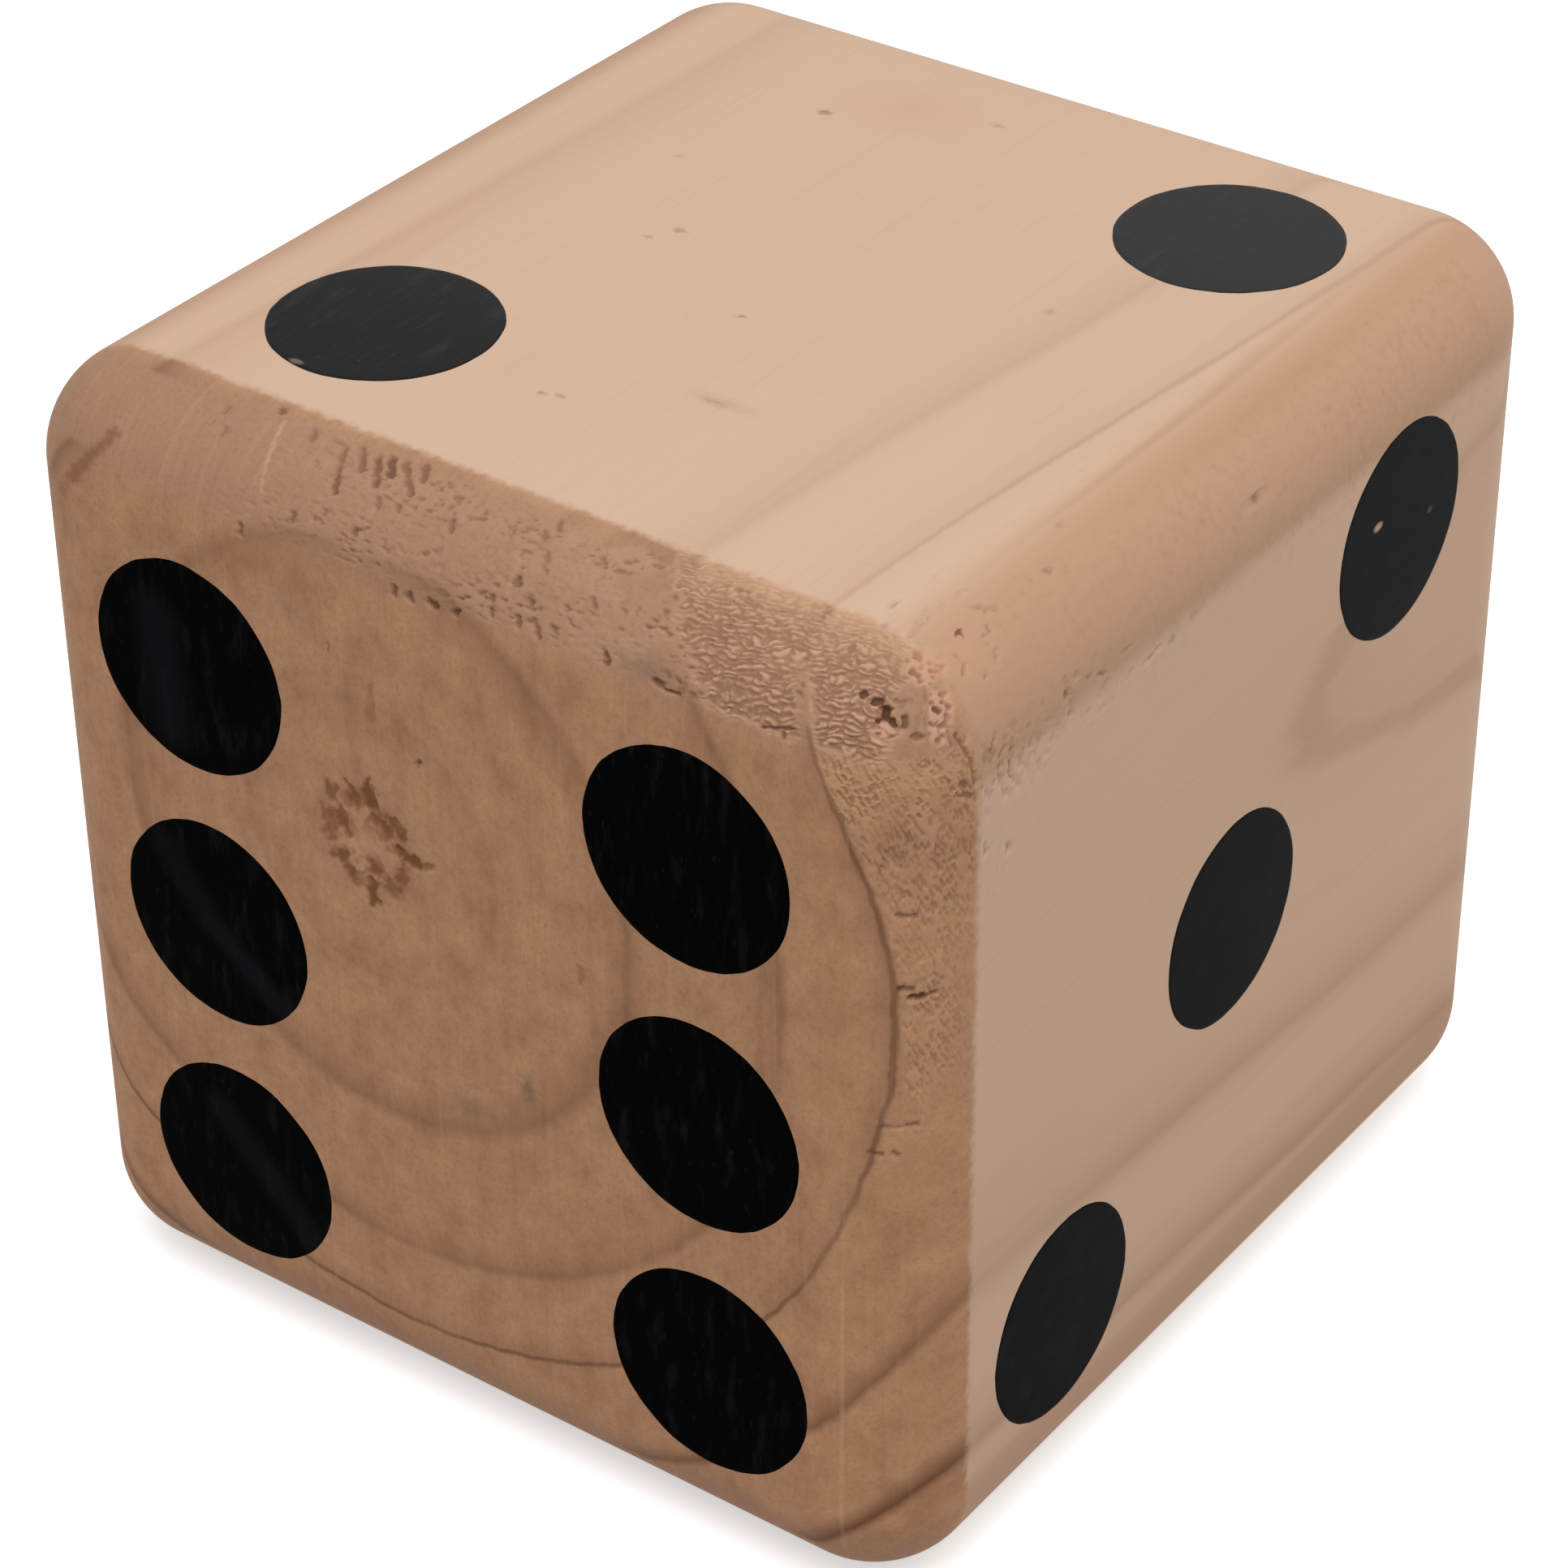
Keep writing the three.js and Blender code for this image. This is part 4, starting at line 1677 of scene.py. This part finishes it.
@dataclass
class WoodBlock:
    """The sawn block, with the tears and dents that routing and play have left on it."""

    form: RoundedForm
    inset: float = 0.06

    # The grid is finest along the torn front edges
    grid_x: tuple[Stretch, ...] = (
        Stretch(-35.0, 0.6),
        Stretch(-22.0, 0.5),
        Stretch(16.0, 0.2),
        Stretch(36.0, 0.18),
        Stretch(50.0, 0.11),
    )
    grid_y: tuple[Stretch, ...] = (
        Stretch(-38.25, 0.1),
        Stretch(-30.0, 0.22),
        Stretch(-14.0, 0.35),
        Stretch(38.25, 1.3),
        Stretch(50.0, 0.5),
    )
    grid_z: tuple[Stretch, ...] = (
        Stretch(-35.0, 0.6),
        Stretch(-4.0, 0.9),
        Stretch(33.0, 0.22),
        Stretch(50.0, 0.1),
    )

    # Damage
    ripples: Ripples = Ripples()
    tear_marks: TearMarks = TearMarks()
    corner_clump: CornerClump = CornerClump()
    top_nicks: TopNicks = TopNicks()
    side_nicks: SideNicks = SideNicks()
    stains: Stains = Stains()

    # End grain reaches far round the back edges, and a sharper line ends it at the near corner
    end_limit_front: float = 0.05
    end_limit_back: float = 0.62
    end_sharpness: float = 0.55
    near_side: Fade = Fade(0.2, 0.7, 0.35)
    near_height: Fade = Fade(72.0, 80.0)

    # Routed long edges, and the top edges of the end faces, which get painted shade
    routed_foot: Fade = Fade(-3.2, 0.4)
    routed_top: Fade = Fade(16.4, 9.0)
    edge_up: Fade = Fade(0.05, 0.5)
    edge_out: Fade = Fade(0.0, 0.3)
    lump_share: float = 0.5
    stain_share: float = 0.95

    def stops(self, axis: int, stretches: tuple[Stretch, ...]) -> tuple[np.ndarray, np.ndarray]:
        """Lay grid lines along one axis, round the arcs at both ends.

        Args:
            axis: Which axis.
            stretches: Runs of the grid from the low end to the high end.

        Returns:
            For each line, its place on the flat core and its tilt round the arc.
        """
        flat = self.form.core(axis)
        radius = self.form.radius - self.inset
        reach = flat + radius * math.pi / 4
        ends = [min(stretch.end, reach) for stretch in stretches]
        lines = [np.array([-reach])]
        start = -reach
        for end, stretch in zip(ends, stretches):
            count = max(1, round((end - start) / stretch.step))
            lines.append(np.linspace(start, end, count + 1)[1:])
            start = end
        along = np.concatenate(lines)
        beyond = np.clip(np.abs(along) - flat, 0, None) / radius
        tilt = np.sign(along) * np.tan(np.clip(beyond, 0, math.pi / 4))
        return np.clip(along, -flat, flat), tilt

    def shell(self) -> tuple[np.ndarray, np.ndarray, np.ndarray]:
        """Make the closed grid of the smooth block.

        Returns:
            The points, the outward direction at each, and the corners of each face.
        """
        grids = (self.grid_x, self.grid_y, self.grid_z)
        axes = [self.stops(axis, grid) for axis, grid in enumerate(grids)]
        shape = tuple(len(core) for core, _ in axes)
        outside = np.ones(shape, dtype=bool)
        outside[1:-1, 1:-1, 1:-1] = False
        index = np.full(shape, -1)
        index[outside] = np.arange(np.count_nonzero(outside))
        where = np.nonzero(outside)
        core = np.stack([axes[axis][0][where[axis]] for axis in range(3)], axis=1)
        tilt = np.stack([axes[axis][1][where[axis]] for axis in range(3)], axis=1)
        outward = tilt / np.linalg.norm(tilt, axis=1, keepdims=True)
        points = core + np.array(self.form.middle) + outward * (self.form.radius - self.inset)
        sheets = (
            (index[-1, :, :], False), (index[0, :, :], True),
            (index[:, -1, :], True), (index[:, 0, :], False),
            (index[:, :, -1], False), (index[:, :, 0], True),
        )
        faces = []
        for sheet, backward in sheets:
            corners = [sheet[:-1, :-1], sheet[1:, :-1], sheet[1:, 1:], sheet[:-1, 1:]]
            if backward:
                corners.reverse()
            faces.append(np.stack([corner.ravel() for corner in corners], axis=1))
        return points, outward, np.concatenate(faces)

    def climb(self, points: np.ndarray, outward: np.ndarray, axis: Direction) -> np.ndarray:
        """Measure along the surface from the front end-grain face over an edge to the next face.

        Args:
            points: Points of the block.
            outward: Outward direction at each.
            axis: Direction that the next face points along.

        Returns:
            Distance from the line where the round-over starts, which is below zero on the front face.
        """
        turn = np.arctan2(outward[:, axis.value], -outward[:, Direction.Y.value])
        level = points[:, axis.value] - self.form.middle[axis.value]
        depth = points[:, Direction.Y.value] - self.form.middle[Direction.Y.value]
        before = np.minimum(level - self.form.core(axis.value), 0)
        after = np.maximum(depth + self.form.core(Direction.Y.value), 0)
        return self.form.radius * np.clip(turn, 0, math.pi / 2) + before + after

    def climb_long(self, points: np.ndarray, outward: np.ndarray) -> np.ndarray:
        """Measure the distance from the nearest side face over the nearest long edge.

        Args:
            points: Points of the block.
            outward: Outward direction at each.

        Returns:
            Distance over the rounded surface, 0 where the rounding starts and below 0 on the side face.
        """
        turn = np.arctan2(np.abs(outward[:, 2]), np.abs(outward[:, 0]))
        rise = np.abs(points[:, 2] - self.form.middle[2]) - self.form.core(2)
        over = self.form.core(0) - np.abs(points[:, 0] - self.form.middle[0])
        return self.form.radius * turn + np.minimum(rise, 0) + np.maximum(over, 0)

    def build(self) -> Object:
        """Build the block's mesh and its layers of measure.

        Returns:
            The block as an object in the scene.
        """
        points, outward, faces = self.shell()
        over_top = self.climb(points, outward, Direction.Z)
        over_side = self.climb(points, outward, Direction.X)
        over_long = self.climb_long(points, outward)
        ripple, ripple_torn = self.ripples.tear(points, outward, over_top)
        marks, marks_torn = self.tear_marks.tear(points, over_side)
        clump, lump, frayed = self.corner_clump.crush(points)
        nicks, nicks_torn = self.top_nicks.cut(points, over_top)
        torn = np.maximum(np.maximum(ripple_torn, marks_torn), nicks_torn)
        depth = np.maximum(np.maximum(ripple, marks), nicks)
        depth = np.maximum(depth, self.side_nicks.cut(points, over_long))
        stain, pale = self.stains.spread(points, over_top)
        crumbled = self.stains.pith_depth * stain * (points[:, 2] < self.stains.pith_top)
        depth = np.maximum(depth, crumbled)
        depth = np.maximum(depth * (1 - lump) * (1 - frayed), clump)
        side = np.abs(outward)
        limit = np.where(outward[:, 1] > 0, self.end_limit_back, self.end_limit_front)
        near_corner = self.near_side.at(outward[:, 0]) * self.near_height.at(points[:, 2])
        layers = {
            WoodSide.END: (self.end_sharpness - near_corner) * (side[:, 1] - limit),
            WoodSide.ROUTED: self.routed_foot.at(over_long) * self.routed_top.at(over_long),
            WoodSide.TOP_EDGE: self.edge_up.at(side[:, 2]) * self.edge_out.at(side[:, 1]),
            WoodSide.HOLLOW: depth,
            WoodSide.TORN: np.maximum(torn * (1 - lump) * (1 - frayed), pale),
            WoodSide.CLUMP: self.lump_share * lump,
            WoodSide.FRAYED: frayed,
            WoodSide.STAIN: self.stain_share * stain,
        }
        mesh = bpy.data.meshes.new("wood_block")
        mesh.from_pydata((points - outward * depth[:, None]) * MM, [], faces.tolist())
        mesh.polygons.foreach_set("use_smooth", np.ones(len(faces), dtype=bool))
        for name, values in layers.items():
            layer = mesh.attributes.new(name.value, "FLOAT", "POINT")
            layer.data.foreach_set("value", values.astype(np.float32))
        return place_piece(mesh, "wood_block")

    def dress(self, piece: Object, finish: Material) -> None:
        """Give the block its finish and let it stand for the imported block.

        Args:
            piece: Block that was built.
            finish: Material of bare wood.
        """
        piece.data.materials.append(finish)
        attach(piece, "root")
        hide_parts("die_block")


@dataclass
class PaintedPip:
    """One patch of stencil paint that follows the block's surface."""

    node: str
    form: RoundedForm
    film_top: float = 0.012
    film_root: float = 0.34
    edge_width: float = 0.35
    edge_drop: float = 0.07
    edge_gap: float = 0.06
    turns: int = 120
    wander: float = 0.09
    broad_waves: float = 2.6
    fine_waves: float = 9.0
    fine_share: float = 0.5
    fine_seed: float = 3.7
    inner_rings: int = 15
    edge_rings: tuple[float, ...] = (0.955, 0.975, 0.99, 1.0)
    edge_roll: float = 0.98
    seed: float = 0.0

    def frame_of(self) -> tuple[np.ndarray, Direction, float, float]:
        """Read the pip's middle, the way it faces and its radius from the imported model.

        Returns:
            The middle on the outer form, the axis it faces along, the sign of that, and its radius.
        """
        low, high = (np.array(corner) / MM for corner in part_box(self.node))
        size = high - low
        axis = int(np.argmin(size))
        middle = (low + high) / 2
        sign = 1.0 if middle[axis] > self.form.middle[axis] else -1.0
        middle[axis] = self.form.middle[axis] + sign * self.form.half[axis]
        return middle, Direction(axis), sign, float(np.max(size)) / 2

    def facing(self) -> Direction:
        """Give the axis that the pip's face points along."""
        return self.frame_of()[1]

    def build(self) -> Object:
        """Build the film of paint as a closed shell.

        Returns:
            The film as an object in the scene.
        """
        middle, axis, sign, radius = self.frame_of()
        first = (axis.value + 1) % 3
        second = (axis.value + 2) % 3
        angle = np.linspace(0, 2 * math.pi, self.turns, endpoint=False)
        cosine = np.cos(angle)
        sine = np.sin(angle)
        broad = noise_at(cosine * self.broad_waves, sine * self.broad_waves, self.seed)
        fine = noise_at(cosine * self.fine_waves, sine * self.fine_waves, self.seed + self.fine_seed)
        outline = radius - self.edge_gap + self.wander * broad
        outline = outline + self.fine_share * self.wander * fine
        shares = np.concatenate([np.linspace(0, 1, self.inner_rings)[1:-1], self.edge_rings])
        rows = [middle[None, :]]
        depths = [np.array([self.film_top])]
        for share in shares:
            ring = np.repeat(middle[None, :], self.turns, axis=0)
            ring[:, first] += outline * share * cosine
            ring[:, second] += outline * share * sine * sign
            rows.append(ring)
            from_edge = outline * (1 - share)
            roll = 1 - np.clip(from_edge / self.edge_width, 0, 1)
            drop = 1 - np.sqrt(1 - self.edge_roll * roll ** 2)
            depths.append(self.film_top + self.edge_drop * drop)
        rows.append(rows[-1].copy())
        depths.append(np.full(self.turns, self.film_root))
        rows.append(middle[None, :].copy())
        depths.append(np.array([self.film_root]))
        places = np.concatenate(rows)
        depth = np.concatenate(depths)
        settled, outward = self.form.settle(places)
        points = settled - outward * depth[:, None]
        mesh = bpy.data.meshes.new(f"paint_{self.node}")
        mesh.from_pydata(points * MM, [], self.faces(len(shares)))
        for face in mesh.polygons:
            face.use_smooth = True
        return place_piece(mesh, f"paint_{self.node}")

    def faces(self, rings: int) -> list[list[int]]:
        """List the faces of the shell.

        Args:
            rings: How many rings the top has.

        Returns:
            The corners of each face.
        """
        turns = self.turns
        last = 1 + (rings + 1) * turns
        made = []
        for turn in range(turns):
            after = (turn + 1) % turns
            made.append([0, 1 + turn, 1 + after])
            for ring in range(rings):
                inner = 1 + ring * turns
                outer = inner + turns
                made.append([inner + turn, outer + turn, outer + after, inner + after])
            root = 1 + rings * turns
            made.append([last, root + after, root + turn])
        return made

    def dress(self, piece: Object, finish: Material) -> None:
        """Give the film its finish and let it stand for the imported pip.

        Args:
            piece: Film that was built.
            finish: Material of paint.
        """
        piece.data.materials.append(finish)
        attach(piece, "root")
        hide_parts(self.node)


@dataclass(frozen=True)
class Lamp:
    """A square soft lamp: the way from the die to it, its distance, its width and its power in watts."""

    name: str
    direction: Triple
    distance_m: float
    size_m: float
    power: float


@dataclass
class Studio:
    """White floor, soft lamps and the camera of the photograph."""

    form: RoundedForm
    azimuth: float = math.radians(35.99)
    elevation: float = math.radians(33.427)
    distance: float = 408.88
    look_azimuth: float = math.radians(36.203)
    look_elevation: float = math.radians(33.984)
    roll: float = math.radians(-0.488)
    focal_pixels: float = 5834.1
    nearest_m: float = 0.01
    world_level: float = 0.5
    lamps: tuple[Lamp, ...] = (
        Lamp("key_lamp", (0.22, -0.28, 0.92), 0.95, 0.7, 5.0),
        Lamp("fill_lamp", (0.5, 0.8, 0.25), 0.3, 0.15, 0.075),
    )
    floor_size_m: float = 6.0
    floor_colour: Colour = (0.53, 0.5, 0.47, 1.0)
    shown_floor_colour: Colour = (0.96, 0.96, 0.96, 1.0)
    shown_floor_glow: float = 0.5

    @staticmethod
    def towards(azimuth: float, elevation: float) -> Vector:
        """Give the direction from the die to someone who stands at these angles."""
        level = math.cos(elevation)
        return Vector((math.sin(azimuth) * level, -math.cos(azimuth) * level, math.sin(elevation)))

    def build_camera(self) -> None:
        """Set up the camera where the photograph was taken."""
        back = self.towards(self.look_azimuth, self.look_elevation)
        right = Vector((math.cos(self.look_azimuth), math.sin(self.look_azimuth), 0.0))
        up = back.cross(right)
        turned_right = right * math.cos(self.roll) + up * math.sin(self.roll)
        turned_up = up * math.cos(self.roll) - right * math.sin(self.roll)
        place = Vector(self.form.middle) + self.towards(self.azimuth, self.elevation) * self.distance
        data = bpy.data.cameras.new("camera")
        data.sensor_width = SENSOR_WIDTH
        data.lens = self.focal_pixels * SENSOR_WIDTH / IMAGE_WIDTH
        data.clip_start = self.nearest_m
        camera = bpy.data.objects.new("camera", data)
        bpy.context.scene.collection.objects.link(camera)
        turn = Matrix((turned_right, turned_up, back)).transposed().to_4x4()
        camera.matrix_world = Matrix.Translation(place * MM) @ turn
        bpy.context.scene.camera = camera

    def hang(self, lamp: Lamp) -> None:
        """Hang a lamp so that it faces the die.

        Args:
            lamp: Lamp to hang.
        """
        data = bpy.data.lights.new(lamp.name, "AREA")
        data.shape = "SQUARE"
        data.size = lamp.size_m
        data.energy = lamp.power
        hung = bpy.data.objects.new(lamp.name, data)
        bpy.context.scene.collection.objects.link(hung)
        along = Vector(lamp.direction).normalized()
        hung.location = Vector(self.form.middle) * MM + along * lamp.distance_m
        hung.rotation_euler = along.to_track_quat("Z", "Y").to_euler()

    @staticmethod
    def seen_directly(board: NodeBoard) -> NodeSocket:
        """Tell rays that show the background, straight or mirrored, from rays that carry light.

        Args:
            board: Board to add nodes to.

        Returns:
            1 for a ray that shows the background, and 0 for one that carries light.
        """
        path = board.node("ShaderNodeLightPath")
        shown = board.math("MAXIMUM", path.outputs["Is Camera Ray"], path.outputs["Is Glossy Ray"])
        return board.math("MAXIMUM", shown, path.outputs["Is Transmission Ray"])

    def build_world(self) -> None:
        """Light the scene evenly from all round, against plain white."""
        world = bpy.data.worlds.new("white_room")
        world.use_nodes = True
        board = NodeBoard(world.node_tree)
        light = board.node("ShaderNodeBackground")
        light.inputs["Strength"].default_value = self.world_level
        white = board.node("ShaderNodeBackground")
        mixed = board.node("ShaderNodeMixShader")
        board.feed(mixed.inputs[0], self.seen_directly(board))
        board.feed(mixed.inputs[1], light.outputs[0])
        board.feed(mixed.inputs[2], white.outputs[0])
        for source in (light, white):
            source.inputs["Color"].default_value = WHITE
        output = board.node("ShaderNodeOutputWorld")
        board.feed(output.inputs["Surface"], mixed.outputs[0])
        bpy.context.scene.world = world

    def build_floor(self) -> None:
        """Lay the white floor, which keeps the die's soft shadow."""
        half = self.floor_size_m / 2
        mesh = bpy.data.meshes.new("floor")
        corners = [(-half, -half, 0.0), (half, -half, 0.0), (half, half, 0.0), (-half, half, 0.0)]
        mesh.from_pydata(corners, [], [(0, 1, 2, 3)])
        material = bpy.data.materials.new("white_floor")
        material.use_nodes = True
        board = NodeBoard(material.node_tree)
        plain = board.node("ShaderNodeBsdfDiffuse")
        plain.inputs["Color"].default_value = self.floor_colour
        bright = board.node("ShaderNodeBsdfDiffuse")
        bright.inputs["Color"].default_value = self.shown_floor_colour
        glow = board.node("ShaderNodeEmission")
        glow.inputs["Strength"].default_value = self.shown_floor_glow
        both = board.node("ShaderNodeAddShader")
        board.feed(both.inputs[0], bright.outputs[0])
        board.feed(both.inputs[1], glow.outputs[0])
        mixed = board.node("ShaderNodeMixShader")
        board.feed(mixed.inputs[0], self.seen_directly(board))
        board.feed(mixed.inputs[1], plain.outputs[0])
        board.feed(mixed.inputs[2], both.outputs[0])
        output = board.node("ShaderNodeOutputMaterial")
        board.feed(output.inputs["Surface"], mixed.outputs[0])
        mesh.materials.append(material)
        place_piece(mesh, "floor")

    def build(self) -> None:
        """Set up everything round the die."""
        bpy.context.scene.view_settings.view_transform = "Standard"
        self.build_camera()
        for lamp in self.lamps:
            self.hang(lamp)
        self.build_world()
        self.build_floor()


# Painted light: each face's coat is lighter or darker for how that face is lit, the top lightest
PAINTS = (
    PaintFinish(PaintCoat.SOAKED, shade(3, 3, 3), shade(3, 3, 3), shade(40, 41, 44), 0.6, 0.005),
    PaintFinish(PaintCoat.THIN, shade(2, 2, 2), shade(25, 25, 25), shade(44, 43, 44), 0.55, 0.015),
    PaintFinish(PaintCoat.FULL, shade(8, 8, 8), shade(46, 44, 44), shade(66, 65, 65), 0.5, 0.08),
)
COATS = {
    Direction.X: PaintCoat.THIN,
    Direction.Y: PaintCoat.SOAKED,
    Direction.Z: PaintCoat.FULL,
}


def place_piece(mesh: Mesh, name: str) -> Object:
    """Put a mesh into the scene.

    Args:
        mesh: Mesh in metres, in the part's frame.
        name: Name of the piece.

    Returns:
        The new object.
    """
    mesh.update()
    piece = bpy.data.objects.new(name, mesh)
    bpy.context.scene.collection.objects.link(piece)
    return piece


def die_form() -> RoundedForm:
    """Read the die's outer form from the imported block.

    Returns:
        The form in millimetres.
    """
    low, high = (np.array(corner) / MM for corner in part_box("die_block"))
    half = (high - low) / 2
    middle = (high + low) / 2
    return RoundedForm(half=tuple(half.tolist()), middle=tuple(middle.tolist()), radius=EDGE_RADIUS)


def main() -> None:
    """Build the die piece by piece, and then the studio round it."""
    logging.basicConfig(level=logging.INFO, format="%(name)s: %(message)s")
    form = die_form()
    pine = PineFinish()
    block = WoodBlock(form)
    piece = block.build()
    block.dress(piece, pine.make())
    LOG.info("%s: %d faces", piece.name, len(piece.data.polygons))
    paints = {finish.coat: finish.make() for finish in PAINTS}
    pips = sorted(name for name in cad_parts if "_pip_" in name)
    for number, name in enumerate(pips):
        pip = PaintedPip(node=name, form=form, seed=FIRST_PIP_SEED + PIP_SEED_STEP * number)
        piece = pip.build()
        pip.dress(piece, paints[COATS[pip.facing()]])
        LOG.info("%s: %d faces", piece.name, len(piece.data.polygons))
    Studio(form).build()


if __name__ == "__main__":
    main()
